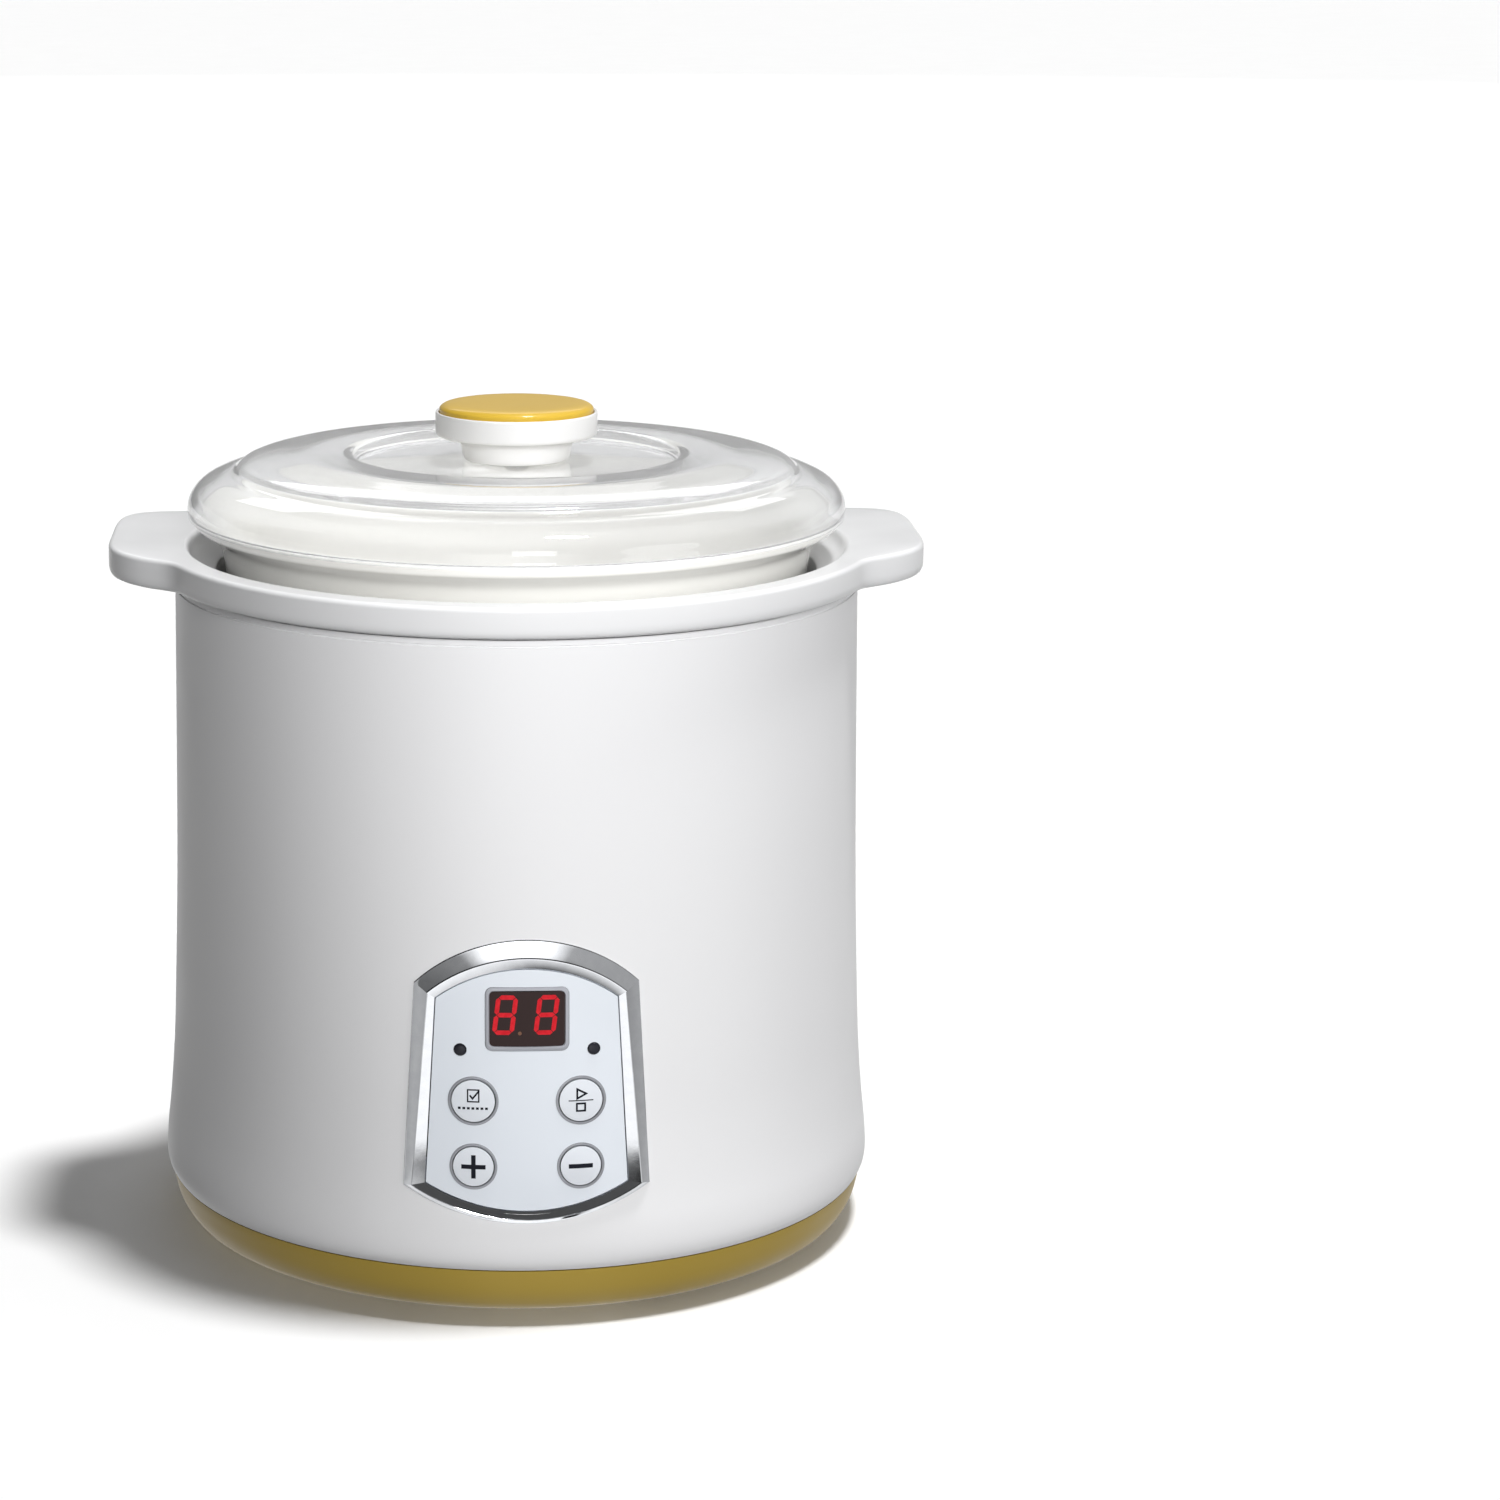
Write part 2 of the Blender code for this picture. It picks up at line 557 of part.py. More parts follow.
def make_buttons():
    for name, x, z, radius in BUTTONS:
        cap = panel_skin(name, FACE_SINK - BUTTON_PROUD, FACE_SINK + 0.0022, "face")
        blank = bmesh.new()
        add_cylinder(blank, (x, -0.108, z), radius, 0.020, axis="Y", steps=28)
        combine(cap, finish_mesh(name + "_blank", blank), "INTERSECT")
        stem = bmesh.new()
        root_y = -math.sqrt((panel_radius(z) - FACE_SINK - 0.0012) ** 2 - x * x)
        add_cylinder(stem, (x, (root_y + STEM_TIP_Y) / 2, z), 0.0017, STEM_TIP_Y - root_y, axis="Y")
        combine(cap, finish_mesh(name + "_stem", stem), "UNION")


def make_electronics():
    board_back = BOARD_FRONT_Y + BOARD_THICK
    part_back = BOARD_FRONT_Y - GAP
    box("control_board", (-0.0230, BOARD_FRONT_Y, 0.0380), (0.0230, board_back, 0.1030), "board")
    combine(bpy.data.objects["control_board"], board_screw_holes())
    box("display_module", (-0.0104, -0.1036, DISPLAY_Z - 0.0078), (0.0104, part_back, DISPLAY_Z + 0.0078),
        "black", bevel=0.0003)
    for side, name in ((-1, "led_left"), (1, "led_right")):
        tip_y = -math.sqrt((panel_radius(LAMP_Z) - FACE_SINK) ** 2 - LAMP_X ** 2) + 0.0002
        lamp = bmesh.new()
        middle_y = (tip_y + part_back) / 2
        add_cylinder(lamp, (side * LAMP_X, middle_y, LAMP_Z), LAMP_R, part_back - tip_y, axis="Y")
        round_edges(finish_mesh(name, lamp, "black"), 0.0006, 2)
    for n, (_, x, z, _) in enumerate(BUTTONS, 1):
        switch = box("tact_switch_%d" % n, (x - 0.0030, SWITCH_TIP_Y + 0.0008, z - 0.0030),
                     (x + 0.0030, part_back, z + 0.0030), "black")
        plunger = bmesh.new()
        add_cylinder(plunger, (x, SWITCH_TIP_Y + 0.0010, z), 0.0016, 0.0020, axis="Y", steps=12)
        combine(switch, finish_mesh("plunger_%d" % n, plunger), "UNION")
    make_board_bracket(board_back)
    make_power_board()


def board_screw_holes():
    holes = bmesh.new()
    for z in (0.0405, 0.1005):
        add_cylinder(holes, (0.0, BOARD_FRONT_Y, z), 0.0017, 0.020, axis="Y", steps=12)
    return finish_mesh("board_holes", holes)


def make_board_bracket(board_back):
    """A U-shaped plastic frame in front of the board, which keeps it square behind the panel."""
    frame = box("board_bracket", (-0.0235, -0.1008, 0.0380), (0.0235, BOARD_FRONT_Y - GAP, 0.0962), "white")
    combine(frame, box("bracket_window", (-0.0213, -0.110, 0.0428), (0.0213, -0.090, 0.1100)))
    pilots = bmesh.new()
    add_cylinder(pilots, (0.0, BOARD_FRONT_Y, 0.0405), 0.0016, 0.010, axis="Y", steps=12)
    combine(frame, finish_mesh("bracket_pilots", pilots))
    head = bmesh.new()
    add_cylinder(head, (0.0, board_back + GAP + 0.0007, 0.0405), 0.0028, 0.0014, axis="Y", steps=PIN_STEPS)
    screw = finish_mesh("board_screw", head, "steel")
    shank = bmesh.new()
    add_cylinder(shank, (0.0, -0.0975, 0.0405), 0.0012, 0.0050, axis="Y", steps=12)
    combine(screw, finish_mesh("board_screw_shank", shank), "UNION")


def make_power_board():
    top = POWER_BOARD_Z + 0.0016
    board = box("power_board", (-0.036, -0.026, POWER_BOARD_Z), (0.036, 0.026, top), "board")
    combine(board, vertical_pins("power_board_holes", POWER_BOARD_HOLES, 0.0018, 0.0, 0.030, steps=12))
    for n, (x, y) in enumerate(POWER_BOARD_HOLES, 1):
        low = top + GAP
        profile = [(0.0, low + 0.0016), (0.0018, low + 0.0016), (0.0028, low + 0.0010), (0.0028, low),
                   (0.0013, low), (0.0013, 0.0062), (0.0006, 0.0052), (0.0, 0.0052)]
        screw = turned("power_board_screw_%d" % n, profile, "steel", steps=12)
        screw.location = (x, y, 0.0)
    seat = top + GAP
    box("transformer", (-0.024, -0.014, seat), (0.004, 0.010, seat + 0.0185), "yellow", bevel=0.0012)
    box("relay", (0.010, -0.012, seat), (0.026, 0.000, seat + 0.0150), "black", bevel=0.0006)
    turned("capacitor", [(0.0, seat + 0.0150), (0.0044, seat + 0.0150), (0.0050, seat + 0.0144),
                         (0.0050, seat), (0.0, seat)], "blue_lead", steps=20).location = (0.018, 0.013, 0.0)


def make_inlet_and_leads():
    inlet = box("power_inlet", (-0.0117, 0.0905, INLET_Z - 0.0067), (0.0117, INLET_FRONT_Y, INLET_Z + 0.0067),
                "black", bevel=0.0006)
    mouth = rounded_outline((0.0, INLET_Z), INLET_MOUTH, INLET_MOUTH[1] / 2 - 0.0001)
    combine(inlet, outline_solid("inlet_mouth", mouth, SOCKET_FLOOR_Y, 0.115))
    for name, x in (("inlet_pin_left", -PIN_X), ("inlet_pin_right", PIN_X)):
        pin = bmesh.new()
        add_cylinder(pin, (x, SOCKET_FLOOR_Y + GAP + 0.0045, INLET_Z), 0.0012, 0.0090, axis="Y")
        round_edges(finish_mesh(name, pin, "steel"), 0.0004, 1)
    lead("mains_lead_live", [(-0.006, 0.0895, 0.038), (-0.010, 0.0700, 0.032), (-0.014, 0.045, 0.022),
                             (-0.016, 0.0220, 0.0145)], 0.0011, "red_lead")
    lead("mains_lead_neutral", [(0.006, 0.0895, 0.038), (0.004, 0.0700, 0.031), (0.000, 0.045, 0.022),
                                (-0.004, 0.0220, 0.0145)], 0.0011, "blue_lead")
    lead("heater_lead_1", [(0.030, -0.006, 0.0140), (0.036, -0.010, 0.025), (0.040, -0.012, 0.036),
                           (0.041, -0.012, 0.0430)], 0.0011, "red_lead")
    lead("heater_lead_2", [(0.030, 0.006, 0.0140), (0.036, 0.010, 0.025), (0.040, 0.012, 0.036),
                           (0.041, 0.012, 0.0430)], 0.0011, "blue_lead")
    lead("signal_lead", [(-0.010, -0.0220, 0.0145), (-0.010, -0.045, 0.020), (-0.008, -0.075, 0.030),
                         (-0.008, -0.0900, 0.044), (-0.008, -0.0940, 0.0480)], 0.0015, "black")


make_body_shell()
make_base_housing()
make_feet_and_screws()
make_top_flange()
make_heating_parts()
make_inner_pot()
make_lid()
make_knob()
make_bezel_and_face()
make_buttons()
make_electronics()
make_inlet_and_leads()
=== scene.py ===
"""Looks of the yogurt maker: glossy housing, gold base and knob, cream pot, clear lid, chrome panel.

Metres, +Z up, front towards -Y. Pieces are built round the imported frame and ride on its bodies.
"""
import json
import math

import bmesh
import bpy
from mathutils import Matrix, Vector
from mathutils.geometry import delaunay_2d_cdt


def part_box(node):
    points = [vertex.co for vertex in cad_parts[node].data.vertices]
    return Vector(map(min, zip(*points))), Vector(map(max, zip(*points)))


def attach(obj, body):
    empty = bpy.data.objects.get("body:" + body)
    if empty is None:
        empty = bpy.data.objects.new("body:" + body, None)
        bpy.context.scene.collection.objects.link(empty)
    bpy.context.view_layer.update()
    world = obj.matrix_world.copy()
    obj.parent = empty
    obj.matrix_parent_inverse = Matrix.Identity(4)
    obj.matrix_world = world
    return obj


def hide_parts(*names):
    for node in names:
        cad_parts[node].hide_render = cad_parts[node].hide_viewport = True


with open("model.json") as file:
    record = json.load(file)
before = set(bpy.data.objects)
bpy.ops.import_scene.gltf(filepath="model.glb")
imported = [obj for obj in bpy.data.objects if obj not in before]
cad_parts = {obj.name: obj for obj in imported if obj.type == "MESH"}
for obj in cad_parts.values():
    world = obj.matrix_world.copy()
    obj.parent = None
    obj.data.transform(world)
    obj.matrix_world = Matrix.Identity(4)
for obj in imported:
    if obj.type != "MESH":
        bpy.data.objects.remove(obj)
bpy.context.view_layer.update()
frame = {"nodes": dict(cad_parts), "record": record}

# ------------ sizes, mostly read from the frame
ROUND = 224                     # facets round the large turned pieces
FINE = 96                       # facets round the knob; the well has twice as many
PIN = 32                        # facets round screws, feet and lamps
COLLAR_STEPS = 320              # facets round the collar and its ears
SHARP = 35                      # edges that turn by more degrees than this stay sharp
GAP = 0.0003                    # running gap between neighbouring pieces

shell_low, shell_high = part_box("body_shell")
base_low, base_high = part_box("base_housing")
collar_low, collar_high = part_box("top_flange")
pot_low, pot_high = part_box("inner_pot")
lid_low, lid_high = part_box("lid_shell")
knob_low, knob_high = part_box("knob_body")
inlay_low, inlay_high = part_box("knob_inlay")
well_low, well_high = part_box("heating_well")
bezel_low, bezel_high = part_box("panel_bezel")
face_low, face_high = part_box("panel_face")
window_low, window_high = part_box("display_window")

BODY_TOP_Z = shell_high.z
BULGE_R = shell_high.x
NECK_R = 0.1041                 # straight top of the body, under the collar
SEAM_R = base_high.x            # where the white body meets the gold base
SEAM_Z = shell_low.z - GAP
COLLAR_TOP = collar_high.z
COLLAR_R = 0.1086               # round part of the collar
EAR_TIP = 0.1240
POT_RIM_R = pot_high.x
POT_RIM_Z = pot_high.z
LID_R = lid_high.x
CROWN_Z = lid_high.z
KNOB_R = knob_high.x
WALL = 0.0025                   # wall of the body and of the base
WINDOW = ((window_low.x + window_high.x) / 2, (window_low.z + window_high.z) / 2)
WINDOW_SIZE = (window_high.x - window_low.x, window_high.z - window_low.z)

PANEL_FOOT_R = -bezel_low.y     # panel surface at the foot of the bezel
PANEL_FOOT_Z = bezel_low.z
PANEL_TAPER = 0.0352            # how fast the panel surface draws in with height
FACE_SINK = 0.0014              # the face lies this far below the crest of the bezel
BEZEL = dict(top_half=0.0323, low_half=0.0357, top_z=0.1021, low_z=0.0416,
             top_arch=bezel_high.z - 0.1021, low_arch=0.0416 - bezel_low.z)
FACE = dict(top_half=0.0262, low_half=0.0293, top_z=0.0979, low_z=0.0427,
            top_arch=face_high.z - 0.0979, low_arch=0.0427 - face_low.z)


def middle(node):
    """Centre of a CAD node's box."""
    low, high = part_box(node)
    return (low + high) / 2


def front_place(node):
    """Centre of a CAD node as (x, z), as seen from the front."""
    return middle(node).xz


# ------------ mesh helpers
def linked(name, data):
    """New object in the scene, of a mesh, a light or a camera."""
    obj = bpy.data.objects.new(name, data)
    bpy.context.scene.collection.objects.link(obj)
    return obj


def object_of(name, bm):
    """New object in the scene, of a bmesh that is used up."""
    mesh = bpy.data.meshes.new(name)
    bm.to_mesh(mesh)
    bm.free()
    return linked(name, mesh)


def finish_piece(name, bm, material, body, replaces=(), sharp=SHARP):
    """Turn a bmesh into a shown piece that rides on a body and stands for CAD nodes."""
    obj = object_of(name, bm)
    obj.data.shade_smooth()
    obj.data.set_sharp_from_angle(angle=math.radians(sharp))
    obj.data.materials.append(material)
    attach(obj, body)
    if replaces:
        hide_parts(*replaces)
    return obj


def softened(points, steps=5):
    """Polyline of (r, z) from corners given as (r, z) or (r, z, size of the rounding)."""
    line = []
    for n, corner in enumerate(points):
        here = Vector(corner[:2])
        size = corner[2] if len(corner) > 2 else 0.0
        if not size or n in (0, len(points) - 1):
            line.append(tuple(here))
            continue
        before, after = Vector(points[n - 1][:2]), Vector(points[n + 1][:2])
        start = here + (before - here).normalized() * min(size, (before - here).length * 0.49)
        end = here + (after - here).normalized() * min(size, (after - here).length * 0.49)
        for k in range(steps + 1):
            t = k / steps
            line.append(tuple(start * (1 - t) ** 2 + here * 2 * t * (1 - t) + end * t * t))
    return line


def flowing(points, steps):
    """Smooth line through all the points (Catmull-Rom)."""
    ends = [points[0]] + list(points) + [points[-1]]
    line = []
    for a, b, c, d in zip(ends, ends[1:], ends[2:], ends[3:]):
        for k in range(steps):
            t = k / steps
            line.append(tuple(
                0.5 * (2 * q + (r - p) * t + (2 * p - 5 * q + 4 * r - s) * t * t
                       + (3 * q - p - 3 * r + s) * t ** 3)
                for p, q, r, s in zip(a, b, c, d)))
    return line + [tuple(points[-1])]


def ring_of(bm, radius, z, steps, centre):
    """Level ring of vertices; a ring of no radius is one vertex."""
    if radius == 0.0:
        return [bm.verts.new((centre[0], centre[1], z))]
    angles = [2 * math.pi * n / steps for n in range(steps)]
    return [bm.verts.new((centre[0] + radius * math.cos(a), centre[1] + radius * math.sin(a), z))
            for a in angles]


def bridge(bm, upper, lower):
    """Faces between two rings; either of them may be a single point."""
    count = max(len(upper), len(lower))
    for n in range(count):
        m = (n + 1) % count
        corners = [upper[n % len(upper)], lower[n % len(lower)],
                   lower[m % len(lower)], upper[m % len(upper)]]
        distinct = [v for k, v in enumerate(corners) if v not in corners[:k]]
        if len(distinct) > 2:
            bm.faces.new(distinct)


def spun(profile, steps=ROUND, centre=(0.0, 0.0)):
    """Solid of revolution. The profile's outer side runs downwards; off the axis it closes on itself."""
    bm = bmesh.new()
    rings = [ring_of(bm, r, z, steps, centre) for r, z in profile]
    for upper, lower in zip(rings, rings[1:]):
        bridge(bm, upper, lower)
    if profile[0][0] > 0.0:
        bridge(bm, rings[-1], rings[0])
    return bm


def carve(obj, cutters):
    """Cut the object with bmesh cutters and leave a plain mesh."""
    for cutter_mesh in cutters:
        cutter = object_of("cutter", cutter_mesh)
        cut = obj.modifiers.new("cut", "BOOLEAN")
        cut.object = cutter
        cut.solver = "EXACT"
        bpy.context.view_layer.update()
        evaluated = obj.evaluated_get(bpy.context.evaluated_depsgraph_get())
        result = bpy.data.meshes.new_from_object(evaluated)
        obj.modifiers.clear()
        obj.data = result
        bpy.data.objects.remove(cutter)
    obj.data.shade_smooth()
    obj.data.set_sharp_from_angle(angle=math.radians(SHARP))


def box_mesh(low, high, bm=None):
    """Block between two corners, added to a bmesh if one is given."""
    bm = bm or bmesh.new()
    low, high = Vector(low), Vector(high)
    place = Matrix.Translation((low + high) / 2) @ Matrix.Diagonal((*(high - low), 1.0))
    bmesh.ops.create_cube(bm, size=1.0, matrix=place)
    return bm


def rod_mesh(centre, radius, length, axis="Z", steps=PIN, bm=None):
    """Round rod about its centre, along Z or Y, added to a bmesh if one is given."""
    bm = bm or bmesh.new()
    turn = {"Z": Matrix(), "Y": Matrix.Rotation(math.pi / 2, 4, "X")}[axis]
    bmesh.ops.create_cone(bm, cap_ends=True, segments=steps, radius1=radius, radius2=radius,
                          depth=length, matrix=Matrix.Translation(Vector(centre)) @ turn)
    return bm


# ------------ outlines on the panel
def arched(top_half, low_half, top_z, low_z, top_arch, low_arch, grow=0.0, steps=28):
    """Panel outline, anticlockwise from the front: arched top and bottom, straight sides."""
    def bow(half, corner_z, rise):
        radius = (half * half + rise * rise) / (2 * abs(rise))
        reach = math.asin(half / radius)
        sign = math.copysign(1.0, rise)
        centre_z = corner_z + rise - sign * radius
        angles = [reach - 2 * reach * n / steps for n in range(steps + 1)]
        return [(radius * math.sin(a), centre_z + sign * radius * math.cos(a)) for a in angles]
    top = bow(top_half + grow, top_z + grow, top_arch)
    low = bow(low_half + grow, low_z - grow, -low_arch)
    return top + low[::-1]


def rounded_rectangle(centre, size, radius, steps=6):
    """Outline in the same turning direction, with a number of steps in each corner."""
    outline = []
    for sx, sz, start in ((1, 1, 0), (-1, 1, 90), (-1, -1, 180), (1, -1, 270)):
        x = centre[0] + sx * (size[0] / 2 - radius)
        z = centre[1] + sz * (size[1] / 2 - radius)
        angles = [math.radians(start + 90 * n / steps) for n in range(steps + 1)]
        outline += [(x + radius * math.cos(a), z + radius * math.sin(a)) for a in angles]
    return outline


def circle(centre, radius, steps=64):
    """Round outline in the same turning direction."""
    angles = [2 * math.pi * n / steps for n in range(steps)]
    return [(centre[0] + radius * math.cos(a), centre[1] + radius * math.sin(a)) for a in angles]


def grown(size, extra):
    """Width and height, both larger by the same amount."""
    return (size[0] + extra, size[1] + extra)


def mixed(a, b, share):
    """Outline part of the way from one outline to another."""
    return [(p[0] + (q[0] - p[0]) * share, p[1] + (q[1] - p[1]) * share) for p, q in zip(a, b)]


def on_panel(x, z, sink):
    """Point of the panel's curved surface, seen from the front at (x, z), sunk towards the axis."""
    radius = PANEL_FOOT_R - PANEL_TAPER * (z - PANEL_FOOT_Z) - sink
    return (x, -math.sqrt(radius * radius - x * x), z)


def on_body(x, z, proud):
    """Point of the housing's outside behind the panel, raised from it."""
    radius = body_radius(z) + proud
    return (x, -math.sqrt(radius * radius - x * x), z)


def densified(line, step, closed=True):
    """Points along a line, at most a step apart; a closed line runs on to its start."""
    dense = []
    for a, b in zip(line, line[1:] + line[:1] if closed else line[1:]):
        pieces = max(1, math.ceil(math.dist(a, b) / step))
        dense += [(a[0] + (b[0] - a[0]) * k / pieces, a[1] + (b[1] - a[1]) * k / pieces)
                  for k in range(pieces)]
    return dense if closed else dense + [line[-1]]


def inside(point, loop):
    """Whether a point lies within a closed outline."""
    x, z = point
    hit = False
    for (ax, az), (bx, bz) in zip(loop, loop[1:] + loop[:1]):
        if (az > z) != (bz > z) and x < (bx - ax) * (z - az) / (bz - az) + ax:
            hit = not hit
    return hit


def slab(outer, holes, front, back, step=0.002, bm=None):
    """Curved plate between two depths of the panel, with an outline and holes."""
    bm = bm or bmesh.new()
    loops = [densified(loop, step) for loop in (outer, *holes)]

    def solid_at(spot):
        return inside(spot, outer) and not any(inside(spot, hole) for hole in holes)

    points, edges = [], []
    for loop in loops:
        start = len(points)
        points += loop
        edges += [(start + n, start + (n + 1) % len(loop)) for n in range(len(loop))]
    xs, zs = [p[0] for p in outer], [p[1] for p in outer]
    for i in range(1, int((max(xs) - min(xs)) / step)):
        for j in range(1, int((max(zs) - min(zs)) / step)):
            spot = (min(xs) + i * step, min(zs) + j * step)
            clear = all(math.dist(spot, p) > step * 0.55 for loop in loops for p in loop)
            if clear and solid_at(spot):
                points.append(spot)
    flat, _, faces, *_ = delaunay_2d_cdt([Vector(p) for p in points], edges, [], 0, 1e-7)
    faces = [face for face in faces
             if solid_at(sum((flat[n] for n in face), Vector((0.0, 0.0))) / len(face))]
    used = {n for face in faces for n in face}
    fronts = {n: bm.verts.new(on_panel(*flat[n], front)) for n in used}
    backs = {n: bm.verts.new(on_panel(*flat[n], back)) for n in used}
    borders = {}
    for face in faces:
        bm.faces.new([fronts[n] for n in face])
        bm.faces.new([backs[n] for n in reversed(face)])
        for a, b in zip(face, face[1:] + face[:1]):
            if (b, a) in borders:
                del borders[(b, a)]
            else:
                borders[(a, b)] = True
    for a, b in borders:
        bm.faces.new([fronts[b], fronts[a], backs[a], backs[b]])
    return bm


def skin(bm, loops, closed):
    """Faces between neighbouring loops of vertices, and from the last to the first if closed."""
    for outer, inner in zip(loops, loops[1:] + loops[:1] if closed else loops[1:]):
        for n in range(len(outer)):
            m = (n + 1) % len(outer)
            bm.faces.new((outer[n], outer[m], inner[m], inner[n]))


def loft(rings, closed=True):
    """Skin through rings of equal length, given from the outside in as (outline, depth).

    Closed, it goes round from the last ring to the first; otherwise both ends are capped.
    """
    bm = bmesh.new()
    loops = [[bm.verts.new(on_panel(x, z, depth)) for x, z in outline] for outline, depth in rings]
    skin(bm, loops, closed)
    if not closed:
        bm.faces.new(loops[-1])
        bm.faces.new(loops[0][::-1])
    return bm


def ribbon(bm, line, width, depth, closed):
    """A printed stroke of even width along a line of (x, z) points, laid at a depth of the panel."""
    spots = densified(line, 0.0012, closed)
    sides = []
    count = len(spots)
    for n, spot in enumerate(spots):
        here = Vector(spot)
        before = Vector(spots[n - 1]) if closed or n else here
        after = Vector(spots[(n + 1) % count]) if closed or n < count - 1 else here
        ahead = (after - here).normalized() if after != here else (here - before).normalized()
        behind = (here - before).normalized() if before != here else ahead
        along = (ahead + behind).normalized()
        reach = width / 2 / max(0.4, along.dot(ahead))     # longer at a corner, so the width stays even
        side = Vector((-along.y, along.x)) * reach
        sides.append((here + side, here - side))
    tops, lows = ([[bm.verts.new(on_panel(p.x, p.y, depth(p.x, p.y) + sunk)) for p in pair] for pair in sides]
                  for sunk in (0.0, 0.0001))
    for n in range(count if closed else count - 1):
        m = (n + 1) % count
        (a, b), (c, d) = tops[n], tops[m]
        (e, f), (g, h) = lows[n], lows[m]
        for corners in ((a, b, d, c), (e, g, h, f), (a, c, g, e), (b, f, h, d)):
            bm.faces.new(corners)
    if not closed:
        bm.faces.new((tops[0][0], lows[0][0], lows[0][1], tops[0][1]))
        bm.faces.new((tops[-1][0], tops[-1][1], lows[-1][1], lows[-1][0]))


# ------------ materials
def new_material(name, **values):
    """A Principled material; each value goes straight to the socket of that name."""
    material = bpy.data.materials.new(name)
    material.use_nodes = True
    shader = material.node_tree.nodes["Principled BSDF"]
    for key, value in values.items():
        socket = shader.inputs[key.replace("_", " ")]
        socket.default_value = (*value, 1.0) if isinstance(value, tuple) else value
    return material


def noise(material, scale, detail, stretch=(1, 1, 1)):
    """Noise in the object's own space, as a value from 0 to 1."""
    nodes, links = material.node_tree.nodes, material.node_tree.links
    place = nodes.new("ShaderNodeTexCoord")
    mapping = nodes.new("ShaderNodeMapping")
    mapping.inputs["Scale"].default_value = stretch
    texture = nodes.new("ShaderNodeTexNoise")
    texture.inputs["Scale"].default_value = scale
    texture.inputs["Detail"].default_value = detail
    links.new(place.outputs["Object"], mapping.inputs["Vector"])
    links.new(mapping.outputs["Vector"], texture.inputs["Vector"])
    return texture.outputs["Fac"]


def spread(material, value, low, high, start=0.3, end=0.7):
    """Map a noise value to a range between two numbers or two colours."""
    nodes, links = material.node_tree.nodes, material.node_tree.links
    ramp = nodes.new("ShaderNodeValToRGB")
    ramp.color_ramp.elements[0].position = start
    ramp.color_ramp.elements[1].position = end
    for element, level in zip(ramp.color_ramp.elements, (low, high)):
        element.color = (*level, 1.0) if isinstance(level, tuple) else (level, level, level, 1.0)
    links.new(value, ramp.inputs["Fac"])
    return ramp.outputs["Color"]


def drive(material, socket, value):
    """Link a varying value to a socket of the shader."""
    shader = material.node_tree.nodes["Principled BSDF"]
    material.node_tree.links.new(value, shader.inputs[socket])


def roughen(material, value, strength, distance):
    """Bump from a height value."""
    nodes, links = material.node_tree.nodes, material.node_tree.links
    bump = nodes.new("ShaderNodeBump")
    bump.inputs["Strength"].default_value = strength
    bump.inputs["Distance"].default_value = distance
    links.new(value, bump.inputs["Height"])
    links.new(bump.outputs["Normal"], nodes["Principled BSDF"].inputs["Normal"])


# No range of roughness crosses 0.274, where Cycles stops counting a reflection as a sharp one: the floor
# and the gloss table show to one kind only, so a surface on both sides of it would turn out blotchy.
def moulded(name, dark, light, rough, grain=900, depth=0.00002, **values):
    """Moulded plastic: slow drift of colour, patchy gloss and a fine surface grain."""
    material = new_material(name, **values)
    drive(material, "Base Color", spread(material, noise(material, 14, 1), dark, light, 0.2, 0.8))
    drive(material, "Roughness", spread(material, noise(material, 60, 1), *rough, 0.2, 0.8))
    roughen(material, noise(material, grain, 2), 0.25, depth)
    return material


def brushed(name, dark, light, rough, stretch=(1, 1, 40), scale=90):
    """Metal with fine drawn lines, or with an even fine texture where it isn't stretched."""
    material = new_material(name, Metallic=1.0)
    lines = noise(material, scale, 6, stretch)
    drive(material, "Base Color", spread(material, lines, dark, light))
    drive(material, "Roughness", spread(material, lines, *rough))
    roughen(material, lines, 0.15, 0.00005)
    return material


white = moulded("satin_white", (0.778, 0.778, 0.788), (0.788, 0.788, 0.798), (0.29, 0.33), 1500, 0.00001,
                IOR=1.5)
collar_white = moulded("collar_white", (0.735, 0.738, 0.747), (0.755, 0.758, 0.767), (0.20, 0.26))
gold = moulded("satin_gold", (0.355, 0.245, 0.036), (0.395, 0.275, 0.044), (0.34, 0.42), 2600,
               Metallic=0.15, Specular_IOR_Level=0.3)
inlay_gold = moulded("glossy_gold", (0.60, 0.385, 0.040), (0.64, 0.42, 0.050), (0.30, 0.36),
                     Specular_IOR_Level=0.1, Coat_Weight=0.25, Coat_Roughness=0.08)
knob_white = moulded("knob_white", (0.80, 0.80, 0.80), (0.85, 0.85, 0.85), (0.18, 0.26))
cream = moulded("glazed_cream", (0.83, 0.82, 0.78), (0.88, 0.875, 0.84), (0.08, 0.15),
                Coat_Weight=0.4, Coat_Roughness=0.05)
pale_face = moulded("pale_face", (0.74, 0.785, 0.845), (0.78, 0.82, 0.875), (0.10, 0.16))
key_face = moulded("key_face", (0.74, 0.775, 0.825), (0.77, 0.80, 0.85), (0.14, 0.20))
chrome = brushed("polished_chrome", (0.74, 0.755, 0.785), (0.80, 0.815, 0.84), (0.05, 0.09), (1, 1, 1), 300)
# grey ring set in the gap round each key, standing a little proud of the face
grey_key_ring = moulded("grey_key_ring", (0.30, 0.31, 0.34), (0.36, 0.37, 0.40), (0.30, 0.38), Metallic=0.5)
frame_grey = moulded("display_frame_grey", (0.36, 0.37, 0.41), (0.43, 0.44, 0.48), (0.30, 0.36))
smoked = moulded("smoked_window", (0.022, 0.010, 0.010), (0.030, 0.014, 0.013), (0.10, 0.16),
                 Specular_IOR_Level=0.2)
ink = moulded("printed_ink", (0.008, 0.009, 0.014), (0.014, 0.015, 0.022), (0.5, 0.6), Specular_IOR_Level=0.1)
